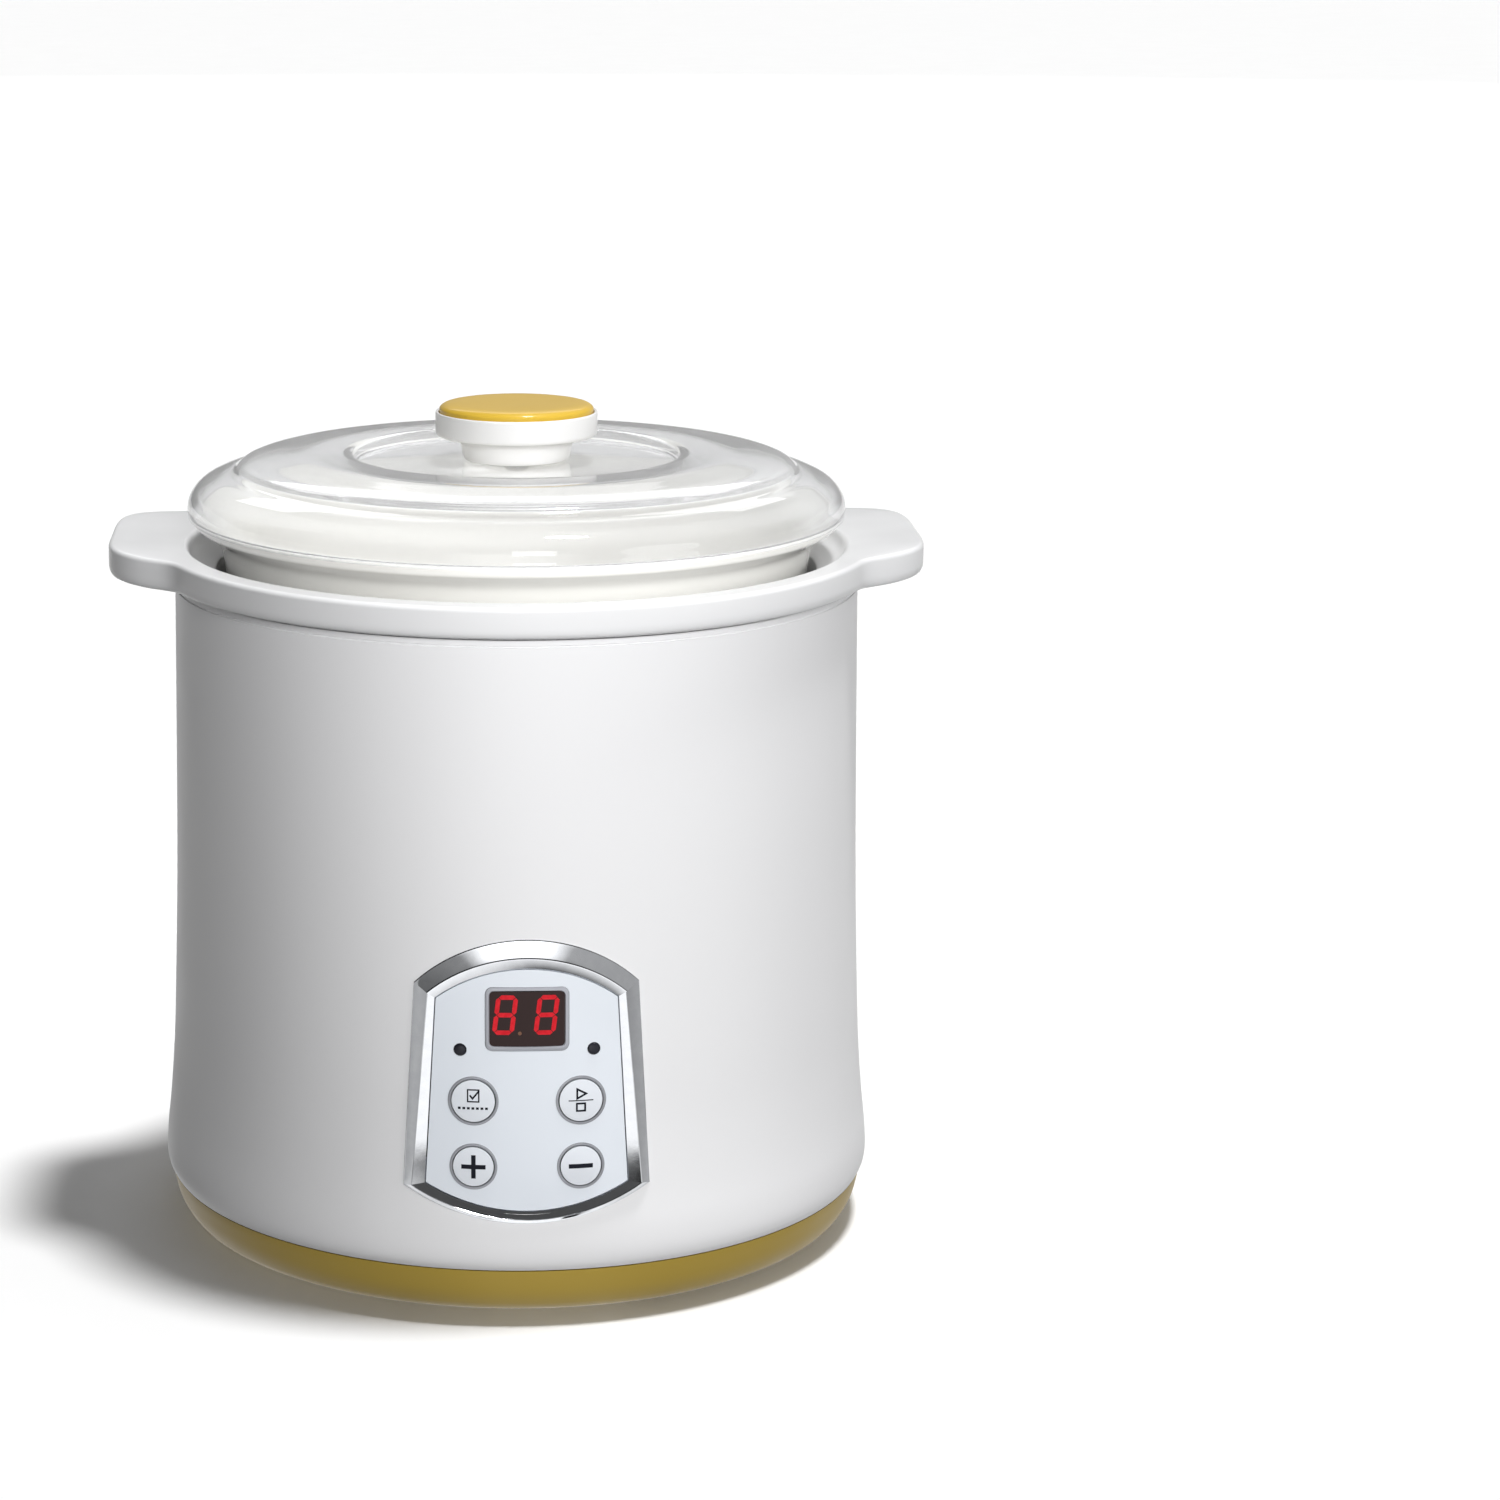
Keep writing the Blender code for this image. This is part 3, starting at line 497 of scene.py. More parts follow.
lamp_black = moulded("lamp_black", (0.008, 0.008, 0.012), (0.022, 0.022, 0.030), (0.18, 0.26),
                     Specular_IOR_Level=0.3)
rubber = moulded("foot_rubber", (0.020, 0.020, 0.020), (0.035, 0.035, 0.035), (0.7, 0.85), 1800, 0.0001)
black = moulded("black_plastic", (0.018, 0.018, 0.020), (0.030, 0.030, 0.032), (0.3, 0.45), 1500, 0.00005)
steel = brushed("steel", (0.52, 0.52, 0.53), (0.62, 0.62, 0.63), (0.30, 0.42))
aluminium = brushed("drawn_aluminium", (0.62, 0.62, 0.63), (0.74, 0.74, 0.75), (0.30, 0.38))
brass = brushed("brass", (0.62, 0.44, 0.17), (0.74, 0.55, 0.25), (0.18, 0.25))
foil = brushed("heater_foil", (0.62, 0.47, 0.24), (0.76, 0.60, 0.34), (0.30, 0.45), (1, 1, 1), 120)
felt = moulded("insulation_felt", (0.36, 0.34, 0.31), (0.55, 0.53, 0.49), (0.85, 0.98), 700, 0.0008)
green = moulded("circuit_board", (0.010, 0.10, 0.040), (0.020, 0.15, 0.060), (0.35, 0.5))
red_skin = moulded("red_insulation", (0.36, 0.010, 0.010), (0.46, 0.020, 0.020), (0.35, 0.5))
blue_skin = moulded("blue_insulation", (0.012, 0.035, 0.28), (0.020, 0.060, 0.36), (0.35, 0.5))
tape = moulded("yellow_tape", (0.55, 0.36, 0.02), (0.66, 0.46, 0.04), (0.3, 0.45))


def clear_material():
    """Clear plastic of the lid, a little foggy."""
    material = new_material("clear_plastic", Base_Color=(0.975, 0.98, 0.99), IOR=1.38,
                            Transmission_Weight=0.88)
    drive(material, "Roughness", spread(material, noise(material, 25, 3), 0.01, 0.03))
    return material


def lit_red():
    """Lit segments of the display."""
    material = new_material("lit_segments", Roughness=0.4, Specular_IOR_Level=0.2, Emission_Strength=0.22)
    glow = spread(material, noise(material, 700, 2), (0.48, 0.005, 0.013), (0.60, 0.012, 0.022))
    drive(material, "Base Color", glow)
    drive(material, "Emission Color", glow)
    return material


clear = clear_material()
red_light = lit_red()
dim_dot = moulded("unlit_dot", (0.12, 0.05, 0.02), (0.18, 0.07, 0.03), (0.3, 0.4))

SLOT_LOOKS = {
    "white_plastic": white, "gold_base": gold, "gold_inlay": inlay_gold, "cream_pot": cream,
    "clear_plastic": clear, "panel_white": pale_face, "chrome": chrome, "dark_lens": smoked,
    "steel": steel, "aluminium": aluminium, "heater_foil": foil, "brass": brass, "rubber": rubber,
    "black_plastic": black, "circuit_board": green, "felt": felt, "red_insulation": red_skin,
    "blue_insulation": blue_skin, "yellow_tape": tape,
}
# carried-over CAD nodes take the looks of their slots
for entry in frame["record"]["subparts"]:
    node = frame["nodes"][entry["node"]]
    node.data.materials.clear()
    node.data.materials.append(SLOT_LOOKS[entry["material_slot"]])


# ------------ housing
# outside of the body from the seam up, as (radius, height)
BODY_LINE = [(SEAM_R + 0.0002, SEAM_Z + 0.0004), (BULGE_R - 0.0004, 0.0190), (BULGE_R, 0.0222),
             (0.1096, 0.0290), (0.1086, 0.0380), (0.1076, 0.0500), (0.1067, 0.0660), (0.1053, 0.1100),
             (0.1046, 0.1560), (NECK_R, 0.1990)]


def body_radius(z):
    """Radius of the body's outside at a height."""
    for (r0, z0), (r1, z1) in zip(BODY_LINE, BODY_LINE[1:]):
        if z0 <= z <= z1:
            return r0 + (r1 - r0) * (z - z0) / (z1 - z0)
    return BODY_LINE[-1][0]


def make_housing():
    """White shell with a fine groove under the collar, an opening for the panel and one for the inlet."""
    side = flowing(BODY_LINE, 5)
    groove_r = NECK_R - 0.0004
    groove = [(NECK_R, 0.2001), (groove_r, 0.2003), (groove_r, 0.2006), (NECK_R, 0.2008), (NECK_R, BODY_TOP_Z)]
    outer = (side + groove)[::-1]
    inner = [(r - WALL, z) for r, z in (BODY_LINE + [(NECK_R, BODY_TOP_Z)])]
    shell = finish_piece("housing_shell", spun(outer + inner), white, "housing", ["body_shell"])
    panel_opening = slab(arched(**FACE, grow=0.0008), (), -0.02, 0.02)
    inlet_z = middle("power_inlet").z
    inlet_opening = box_mesh((-0.0120, 0.090, inlet_z - 0.0070), (0.0120, 0.130, inlet_z + 0.0070))
    carve(shell, [panel_opening, inlet_opening])


def make_base():
    """Gold base with vent slots and pockets for the screws in its underside."""
    floor = base_low.z
    lip_low_r, lip_r, lip_z = 0.1036, 0.1052, 0.0212
    outer = [(SEAM_R, SEAM_Z), (0.1081, 0.0146, 0.0012), (0.1066, 0.0080, 0.0060),
             (0.1020, floor + 0.0004, 0.0070), (0.0940, floor, 0.002), (0.0, floor)]
    inner = [(0.0, floor + WALL), (0.0980, floor + WALL, 0.006), (lip_low_r, 0.0125, 0.002), (lip_low_r, lip_z),
             (lip_r, lip_z), (lip_r, SEAM_Z)]
    base = finish_piece("base_ring", spun(softened(inner + outer)), gold, "housing", ["base_housing"])
    slots = bmesh.new()
    for row in range(6):
        y = -0.0125 + 0.005 * row
        box_mesh((-0.022, y - 0.001, 0.0), (0.022, y + 0.001, 0.008), slots)
    pockets = bmesh.new()
    for n in range(1, 5):
        spot = middle("base_screw_%d" % n)
        rod_mesh((spot.x, spot.y, 0.004), 0.0036, 0.010, bm=pockets)
    carve(base, [slots, pockets])


def make_feet_and_screws():
    """Rubber feet with a stem and a hollow, the base screws, and the screw that holds the knob."""
    for n in range(1, 5):
        low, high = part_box("foot_%d" % n)
        spot, radius = (low + high) / 2, (high.x - low.x) / 2
        stem_r, pad_z, hollow_z = 0.0019, 0.0012, 0.0004
        profile = softened([(0.0, high.z), (stem_r, high.z, 0.0006), (stem_r, pad_z), (radius, pad_z, 0.0003),
                            (radius - 0.0002, 0.0, 0.0005), (radius * 0.62, 0.0),
                            (radius * 0.55, hollow_z, 0.0002), (0.0, hollow_z)])
        finish_piece("rubber_foot_%d" % n, spun(profile, PIN, (spot.x, spot.y)), rubber, "housing",
                     ["foot_%d" % n])
        make_screw("base_screw_%d" % n, "housing")
    make_screw("knob_screw", "lid")


def make_screw(node, body):
    """Pan-head screw that points up, with a cross recess in its head."""
    low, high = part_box(node)
    spot, radius = (low + high) / 2, (high.x - low.x) / 2
    neck = low.z + 0.0018
    shank = radius * 0.42
    head = [(radius, neck - 0.0002, 0.0002), (radius, low.z + 0.0009, 0.0006), (radius * 0.6, low.z, 0.0008),
            (0.0, low.z)]
    threads, pitch = [], 0.0011
    for k in range(int((high.z - neck - 0.002) / pitch)):
        top = high.z - 0.0015 - k * pitch
        threads += [(shank * 0.80, top), (shank, top - 0.00055)]
    profile = [(0.0, high.z), (shank * 0.4, high.z - 0.0004)] + threads + [(shank * 0.8, neck)]
    screw = finish_piece("cross_" + node, spun(profile + softened(head), PIN, (spot.x, spot.y)), steel, body,
                         [node])
    bar = radius * 0.62
    cutters = [box_mesh((spot.x - wide, spot.y - deep, low.z - 0.001), (spot.x + wide, spot.y + deep, low.z + cut))
               for wide, deep, cut in ((bar, bar * 0.2, 0.0007), (bar * 0.2, bar, 0.0008))]
    carve(screw, cutters)


# ------------ collar with two ears
EAR_HALF_WIDTH = 0.0490
EAR_SHIFT = 0.0100              # the ears sit this far behind the middle
EAR_RISE = 0.0010               # the tips stand this far above the ring
EAR_SQUARENESS = 4.5            # exponent of the rounded-rectangle curve of the ears
EAR_FILLET = 34                 # sharpness of the blend between ring and ears
FLANGE_LOW = 0.2030             # underside of the ring and the ears


def collar_reach(angle):
    """Plan radius of the collar: a round ring blended into two rounded ears on the X axis."""
    inner, outer = 0.0, 2 * EAR_TIP
    for _ in range(40):
        radius = (inner + outer) / 2
        across = abs(radius * math.cos(angle) / EAR_TIP) ** EAR_SQUARENESS
        along = abs((radius * math.sin(angle) - EAR_SHIFT) / EAR_HALF_WIDTH) ** EAR_SQUARENESS
        if across + along < 1.0:
            inner = radius
        else:
            outer = radius
    return (COLLAR_R ** EAR_FILLET + inner ** EAR_FILLET) ** (1 / EAR_FILLET)


def make_collar():
    """Loft of eared rings outside and round rings in the throat."""
    top, skirt_low = COLLAR_TOP, collar_low.z
    outside = softened([(-0.0060, top), (0.0, top, 0.0016), (0.0, FLANGE_LOW + 0.0010, 0.0026),
                        (-0.0024, FLANGE_LOW, 0.0010), (-0.0060, FLANGE_LOW)], 8)
    skirt_r, skirt_inner_r, throat_r, ledge_z = 0.1012, 0.0992, 0.0914, 0.1989
    throat = softened([(skirt_r, FLANGE_LOW), (skirt_r, skirt_low), (skirt_inner_r, skirt_low),
                       (skirt_inner_r, ledge_z), (throat_r, ledge_z), (throat_r, 0.2050, 0.0006),
                       (0.0926, 0.2060, 0.0012), (0.0988, 0.2091, 0.0024), (0.1006, top, 0.0016),
                       (0.1024, top)], 7)
    angles = [2 * math.pi * n / COLLAR_STEPS for n in range(COLLAR_STEPS)]
    bm = bmesh.new()
    loops = []
    for size, z in outside:
        loop = []
        for angle in angles:
            reach = collar_reach(angle)
            share = max(0.0, (reach - COLLAR_R) / (EAR_TIP - COLLAR_R))
            rise = EAR_RISE * share * share
            reach += size
            loop.append(bm.verts.new((reach * math.cos(angle), reach * math.sin(angle), z + rise)))
        loops.append(loop)
    for radius, z in throat:
        loops.append([bm.verts.new((radius * math.cos(a), radius * math.sin(a), z)) for a in angles])
    for upper, lower in zip(loops, loops[1:] + loops[:1]):
        bridge(bm, upper, lower)
    finish_piece("collar", bm, collar_white, "housing", ["top_flange"])


# ------------ well, pot, lid and knob
def make_well():
    """Drawn aluminium can that the pot stands in, with a flat rim."""
    sheet = 0.0012
    floor, rim_r, rim_z = well_low.z + sheet, well_high.x, well_high.z
    profile = softened([(0.0, floor), (0.0770, floor, 0.004), (0.0823, 0.0600, 0.006), (0.0906, rim_z, 0.0006),
                        (rim_r, rim_z), (rim_r, rim_z - sheet), (0.0918, rim_z - sheet),
                        (0.0835, 0.0600, 0.006), (0.0776, well_low.z, 0.004), (0.0, well_low.z)])
    finish_piece("drawn_well", spun(profile, FINE * 2), aluminium, "housing", ["heating_well"])


def make_pot():
    """Inner pot with a flared rim."""
    floor, thick = pot_low.z, 0.003
    outer = softened([(POT_RIM_R - 0.0012, POT_RIM_Z), (POT_RIM_R, POT_RIM_Z, 0.0008),
                      (POT_RIM_R - 0.0002, POT_RIM_Z - 0.0026, 0.0012), (0.0912, 0.2148, 0.004),
                      (0.0890, 0.2080, 0.004), (0.0805, 0.0620, 0.008), (0.0735, floor, 0.008), (0.0, floor)])
    inner = softened([(0.0, floor + thick), (0.0715, floor + thick, 0.008), (0.0781, 0.0630, 0.008),
                      (0.0866, 0.2085, 0.004), (0.0893, 0.2160, 0.004), (0.0962, 0.2208, 0.001),
                      (POT_RIM_R - 0.0018, POT_RIM_Z, 0.0008), (POT_RIM_R - 0.0012, POT_RIM_Z)])
    finish_piece("glazed_pot", spun(inner + outer[1:]), cream, "pot", ["inner_pot"])


def make_lid():
    """Clear lid: a flat recess for the knob, a stepped crown, and a rim that sits over the pot."""
    recess, seat, rim_r = knob_low.z - GAP, POT_RIM_Z + GAP, POT_RIM_R + GAP
    thick, hole_r = 0.0016, 0.0023
    top = softened([(hole_r, recess), (0.0486, recess, 0.0006), (0.0496, CROWN_Z - 0.0006, 0.0008),
                    (0.0512, CROWN_Z, 0.0008), (0.0640, CROWN_Z - 0.0001, 0.006), (0.0790, 0.2384, 0.004),
                    (0.0838, 0.2369, 0.0016), (0.0858, 0.2346, 0.0016), (0.0905, 0.2334, 0.003),
                    (0.0962, 0.2310, 0.004), (0.0994, 0.2272, 0.004), (LID_R, 0.2237, 0.001),
                    (LID_R - 0.0002, lid_low.z)], 7)
    under = [(rim_r, lid_low.z), (rim_r, seat), (0.0970, seat, 0.0004), (0.0966, 0.2264, 0.002),
             (0.0944, 0.2291, 0.002), (0.0898, 0.2316, 0.002), (0.0848, 0.2329, 0.0014), (0.0829, 0.2352, 0.002),
             (0.0785, 0.2366, 0.004), (0.0640, CROWN_Z - thick, 0.004), (0.0520, CROWN_Z - thick, 0.0008),
             (0.0500, recess - thick, 0.0008), (hole_r, recess - thick)]
    lid = finish_piece("clear_lid", spun(top + softened(under, 6)), clear, "lid", ["lid_shell"])
    # light passes through the lid to the pot
    lid.visible_shadow = False
    lid.visible_diffuse = False


def make_knob():
    """White knob with a waist, and the gold dome in the pocket of its top."""
    foot, rim = knob_low.z, knob_high.z
    pocket_r, pocket_z = inlay_high.x + GAP, inlay_low.z - GAP
    hole_r, hole_z = 0.0016, 0.2470
    pocket = [(0.0, pocket_z), (pocket_r, pocket_z), (pocket_r, rim - 0.0002)]
    cap = [(pocket_r + 0.0002, rim, 0.0002), (KNOB_R, rim, 0.0009), (KNOB_R, 0.2448, 0.0014),
           (0.0188, 0.2444, 0.0030), (0.0169, 0.2424, 0.0020), (0.0163, 0.2385, 0.0010),
           (0.0156, foot, 0.0014), (0.0120, foot), (hole_r, foot)]
    hole = [(hole_r, hole_z), (0.0, hole_z)]
    finish_piece("knob", spun(softened(pocket + cap + hole, 8), FINE), knob_white, "lid",
                 ["knob_body"])
    edge, top = inlay_high.x, inlay_high.z
    dome = softened([(0.0, top - 0.0004), (0.0120, top - 0.0003, 0.006), (0.0212, top - 0.0004, 0.0060),
                     (edge, top - 0.0016, 0.0016), (edge, top - 0.0030), (edge, inlay_low.z),
                     (0.0, inlay_low.z)], 10)
    finish_piece("knob_inlay_disc", spun(dome, FINE), inlay_gold, "lid", ["knob_inlay"])


# ------------ control panel
def make_bezel():
    """Chrome frame: a thin rounded edge, a wide facet up to the crest and a facet down to the face."""
    outer, inner = arched(**BEZEL), arched(**FACE)

    def shares(high, foot):
        """Outline between outer and inner; the share falls from high to foot along the bottom arch."""
        line = []
        for p, q in zip(outer, inner):
            blend = min(1.0, max(0.0, (p[1] - BEZEL["low_z"] + 0.0002) / 0.0030))
            line += mixed([p], [q], foot + (high - foot) * blend)
        return line

    # (outline, depth in the panel or None, height over the body or None), from the outside in
    rings = [(outer, None, 0.0001), (outer, None, 0.0003), (shares(0.03, 0.04), None, 0.0005),
             (shares(0.10, 0.12), None, 0.0006), (shares(0.56, 0.29), 0.0001, None),
             (shares(0.60, 0.33), -0.0001, None), (shares(0.64, 0.37), 0.0001, None),
             (mixed(outer, inner, 0.96), FACE_SINK - 0.0002, None), (inner, FACE_SINK + 0.0004, None),
             (inner, 0.0034, None), (outer, None, -0.0012)]
    bm = bmesh.new()
    loops = []
    for outline, sink, proud in rings:
        places = [on_panel(x, z, sink) if proud is None else on_body(x, z, proud) for x, z in outline]
        loops.append([bm.verts.new(p) for p in places])
    skin(bm, loops, True)
    finish_piece("chrome_bezel", bm, chrome, "housing", ["panel_bezel"], sharp=12)


KEYS = {"button_function": "function_key", "button_start": "start_key", "button_plus": "plus_key",
        "button_minus": "minus_key"}
KEY_EDGE = 0.0006               # the middle of a key stands this far above the face
LAMPS = ("led_left", "led_right")


def key_radius(node):
    """Radius of a key's cap."""
    low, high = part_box(node)
    return (high.x - low.x) / 2


def make_face():
    """Pale face plate with openings for the window, the lamps and the keys."""
    holes = [rounded_rectangle(WINDOW, grown(WINDOW_SIZE, 0.0006), 0.0022)]
    holes += [circle(front_place(node), 0.0019, 32) for node in LAMPS]
    holes += [circle(front_place(node), key_radius(node) + GAP) for node in KEYS]
    plate = slab(arched(**FACE, grow=-0.0001), holes, FACE_SINK, FACE_SINK + 0.0018, 0.0022)
    finish_piece("face_plate", plate, pale_face, "housing", ["panel_face"])


def make_display():
    """Smoked window in a raised grey frame."""
    outer_size, glass_size = grown(WINDOW_SIZE, 0.0004), (0.0216, 0.0162)
    rim = [(outer_size, 0.0021, 0.0012), (outer_size, 0.0021, -0.0001), (grown(outer_size, -0.0006), 0.0019, -0.0003),
           (grown(glass_size, 0.0006), 0.0016, -0.0003), (glass_size, 0.0013, 0.0002), (glass_size, 0.0013, 0.0012)]
    rings = [(rounded_rectangle(WINDOW, size, corner), FACE_SINK + sink) for size, corner, sink in rim]
    finish_piece("display_frame", loft(rings), frame_grey, "housing")
    glass = slab(rounded_rectangle(WINDOW, glass_size, 0.0013), (), FACE_SINK + 0.0002, FACE_SINK + 0.0014, 0.0016)
    finish_piece("display_glass", glass, smoked, "housing", ["display_window"])
    make_digits()


def make_digits():
    """Two slanted seven-segment eights that lie on the smoked window, and one unlit point."""
    height, width, stroke, slant = 0.0117, 0.0063, 0.00132, math.tan(math.radians(7))
    half_w, half_h, gap = width / 2, height / 2, 0.00012
    level = FACE_SINK + 0.00015

    def segment(bm, a, b, middle_x):
        """A bar with pointed ends between two corners of the digit."""
        start, end = Vector(a), Vector(b)
        along = (end - start).normalized()
        side = Vector((-along.y, along.x)) * stroke / 2
        start, end = start + along * gap, end - along * gap
        tip = along * stroke / 2
        corners = [start, start + tip - side, end - tip - side, end, end - tip + side, start + tip + side]
        outline = [(WINDOW[0] + middle_x + c.x + c.y * slant, WINDOW[1] + 0.0012 + c.y) for c in corners]
        slab(outline, (), level, level + 0.0002, 0.0012, bm)

    lit = bmesh.new()
    for middle_x in (-0.0063, 0.0056):
        top, low = half_h - stroke / 2, -half_h + stroke / 2
        left, right = -half_w + stroke / 2, half_w - stroke / 2
        bars = [((left, top), (right, top)), ((left, 0.0), (right, 0.0)), ((left, low), (right, low)),
                ((left, 0.0), (left, top)), ((right, 0.0), (right, top)), ((left, low), (left, 0.0)),
                ((right, low), (right, 0.0))]
        for a, b in bars:
            segment(lit, a, b, middle_x)
    finish_piece("display_digits", lit, red_light, "housing")
    dot = slab(circle((WINDOW[0] - 0.0021, WINDOW[1] - 0.0042), 0.00055, 20), (), level, level + 0.0002)
    finish_piece("display_point", dot, dim_dot, "housing")


def make_lamps():
    """Small domed dark lenses."""
    dome = ((1.0, 0.0016), (1.0, 0.0), (0.93, -0.0002), (0.75, -0.0004), (0.45, -0.0005), (0.12, -0.00055))
    for node in LAMPS:
        rings = [(circle(front_place(node), 0.0018 * share, 32), FACE_SINK + sink) for share, sink in dome]
        finish_piece(node + "_lens", loft(rings, closed=False), lamp_black, "housing", [node])


def key_level(node):
    """Function of x and z that gives the depth of a key's slightly domed top there."""
    place, radius = front_place(node), key_radius(node)

    def level(x, z):
        share = min(1.0, math.dist((x, z), place) / radius)
        return FACE_SINK - KEY_EDGE + 0.0001 + 0.0003 * share * share
    return level


def make_keys():
    """Domed caps with a stem behind them, each in a fixed grey ring that fills the gap round it, and the signs on
    them.
    """
    ring_profile = ((0.0004, 0.0010), (0.0007, 0.0), (0.0007, -0.00012), (0.0005, -0.00024), (0.0001, -0.00024),
                    (-0.0001, -0.0001), (-0.0001, 0.0010))
    for node, body in KEYS.items():
        place, radius, level = front_place(node), key_radius(node), key_level(node)
        rings = [(circle(place, radius - 0.0004), FACE_SINK + sink) for sink in (0.0016, -0.0001)]
        for share in (0.94, 0.90, 0.84, 0.70, 0.50, 0.30, 0.10):
            rings.append((circle(place, radius * share), level(place.x + radius * share, place.y)))
        cap = loft(rings, closed=False)
        stem_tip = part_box(node)[1].y
        stem_root = on_panel(*place, FACE_SINK + 0.0012)[1]
        rod_mesh((place.x, (stem_root + stem_tip) / 2, place.y), 0.0017, stem_tip - stem_root, "Y", 24, cap)
        finish_piece(node + "_cap", cap, key_face, body, [node])
        ring = [(circle(place, radius + size), FACE_SINK + sink) for size, sink in ring_profile]
        finish_piece(node + "_ring", loft(ring), grey_key_ring, "housing")
    make_symbols()


def make_symbols():
    """Generic printed signs on the keys: plus, minus, a ticked box and a play-and-stop pair."""
    def sign(node, strokes):
        place, level = front_place(node), key_level(node)
        bm = bmesh.new()
        for line, width, closed in strokes:
            placed = [(place.x + x, place.y + z) for x, z in line]
            ribbon(bm, placed, width, lambda x, z: level(x, z) - 0.00004, closed)
        finish_piece(node + "_sign", bm, ink, KEYS[node])

    bar, arm = 0.00130, 0.0035
    sign("button_plus", [([(-arm, 0), (arm, 0)], bar, False), ([(0, bar / 2), (0, arm)], bar, False),
                         ([(0, -arm), (0, -bar / 2)], bar, False)])
    sign("button_minus", [([(-arm, 0), (arm, 0)], bar, False)])
    box = [(0.0016, 0.0034), (-0.0016, 0.0034), (-0.0016, -0.0001), (0.0016, -0.0001)]
    dashes = [([(-0.0044 + 0.0013 * k, -0.0021), (-0.0036 + 0.0013 * k, -0.0021)], 0.0007, False)
              for k in range(7)]
    tick = [(-0.0010, 0.0018), (-0.0002, 0.0008), (0.0017, 0.0032)]
    sign("button_function", [(box, 0.0004, True), (tick, 0.0005, False)] + dashes)
    triangle = [(0.0015, 0.0020), (-0.0011, 0.0034), (-0.0011, 0.0006)]
    square = [(0.0012, -0.0009), (-0.0012, -0.0009), (-0.0012, -0.0031), (0.0012, -0.0031)]
    sign("button_start", [(triangle, 0.00055, True), ([(-0.0036, 0.0), (0.0036, 0.0)], 0.0003, False),
                          (square, 0.00055, True)])


make_housing()
make_base()
make_feet_and_screws()
make_collar()
make_well()
make_pot()
make_lid()
make_knob()
make_bezel()
make_face()
make_display()
make_lamps()
make_keys()


# ------------ stage, light and camera
# levels by azimuth, 0 at the front and 90 at the right: the upper sky, the band along the horizon,
# and that band as sharp reflections see it, without the front glow that would burn out the chrome
HIGH_SKY = [(-180, 0.30), (-140, 0.06), (-60, 0.0), (-36, 0.08), (-20, 0.10), (0, 0.08), (20, 0.10), (40, 0.07),
            (90, 0.28), (140, 0.42), (180, 0.40)]
LOW_SKY = [(-180, 0.80), (-150, 0.20), (-110, 0.08), (-75, 0.0), (-55, 0.0), (-36, 0.14), (-22, 0.4), (-6, 4.4),
           (8, 4.4), (24, 0.4), (36, 0.16), (70, 0.42), (150, 0.50), (180, 0.80)]
GLOSS_SKY = [(-180, 0.35), (-120, 0.30), (-80, 0.10), (-50, 0.16), (-30, 0.30), (-12, 2.4), (6, 2.4), (24, 0.45),
             (50, 0.42), (90, 0.45), (140, 0.50), (180, 0.35)]
# what sharp reflections see of the table, far from the object and close to it
FAR_TABLE = [(-180, 0.9), (-110, 0.8), (-84, 0.42), (-60, 0.50), (-34, 0.4), (-20, 0.9), (-4, 1.25), (12, 1.25),
             (28, 0.8), (50, 0.45), (84, 0.32), (110, 0.8), (180, 0.9)]
NEAR_TABLE = [(-180, 0.8), (-100, 0.7), (-70, 0.55), (-40, 0.75), (-2, 0.80), (2, 0.02), (17, 0.02), (23, 0.5),
              (38, 0.5), (70, 0.40), (110, 0.7), (180, 0.8)]
FLOOR_R, TABLE_R, TABLE_Z = 30.0, 6.0, 0.0002


def stage_disc(name, radius, z, material):
    """Round level sheet that isn't part of the object."""
    bm = bmesh.new()
    bmesh.ops.create_circle(bm, cap_ends=True, segments=64, radius=radius, matrix=Matrix.Translation((0, 0, z)))
    disc = object_of(name, bm)
    disc.data.materials.append(material)
    disc.visible_diffuse = False
    return disc


def make_floor():
    """Plain pale floor. It throws no light back at the object, which would drown the shading of its foot."""
    floor = stage_disc("floor", FLOOR_R, 0.0,
                       moulded("pale_floor", (0.97, 0.97, 0.97), (0.99, 0.99, 0.99), (0.8, 0.9), 40, 0.0001))
    floor.visible_glossy = False
    return floor


def math_node(tree, operation, *values):
    """Output of a math node on numbers and other nodes' outputs."""
    node = tree.nodes.new("ShaderNodeMath")
    node.operation = operation
    for socket, value in zip(node.inputs, values):
        if isinstance(value, float):
            socket.default_value = value
        else:
            tree.links.new(value, socket)
    return node.outputs["Value"]


def ramp_node(tree, value, stops):
    """Level by a value from 0 to 1, between (position, level) stops."""
    node = tree.nodes.new("ShaderNodeValToRGB")
    elements = node.color_ramp.elements
    while len(elements) < len(stops):
        elements.new(0.5)
    for element, (position, level) in zip(elements, stops):
        element.position = position
        element.color = (level, level, level, 1.0)
    tree.links.new(value, node.inputs["Fac"])
    return node.outputs["Color"]


def by_azimuth(tree, vector, *tables):
    """Levels of azimuth tables for a direction or a place, and the three parts of that vector."""
    split = tree.nodes.new("ShaderNodeSeparateXYZ")
    tree.links.new(vector, split.inputs["Vector"])
    x, y, z = split.outputs
    azimuth = math_node(tree, "ARCTAN2", x, math_node(tree, "MULTIPLY", y, -1.0))
    turn = math_node(tree, "MULTIPLY_ADD", azimuth, 0.5 / math.pi, 0.5)
    levels = [ramp_node(tree, turn, [((angle + 180) / 360, level) for angle, level in table]) for table in tables]
    return levels, (x, y, z)


def blended(tree, a, b, share):
    """Value part of the way from one to another."""
    return math_node(tree, "MULTIPLY_ADD", math_node(tree, "SUBTRACT", b, a), share, a)


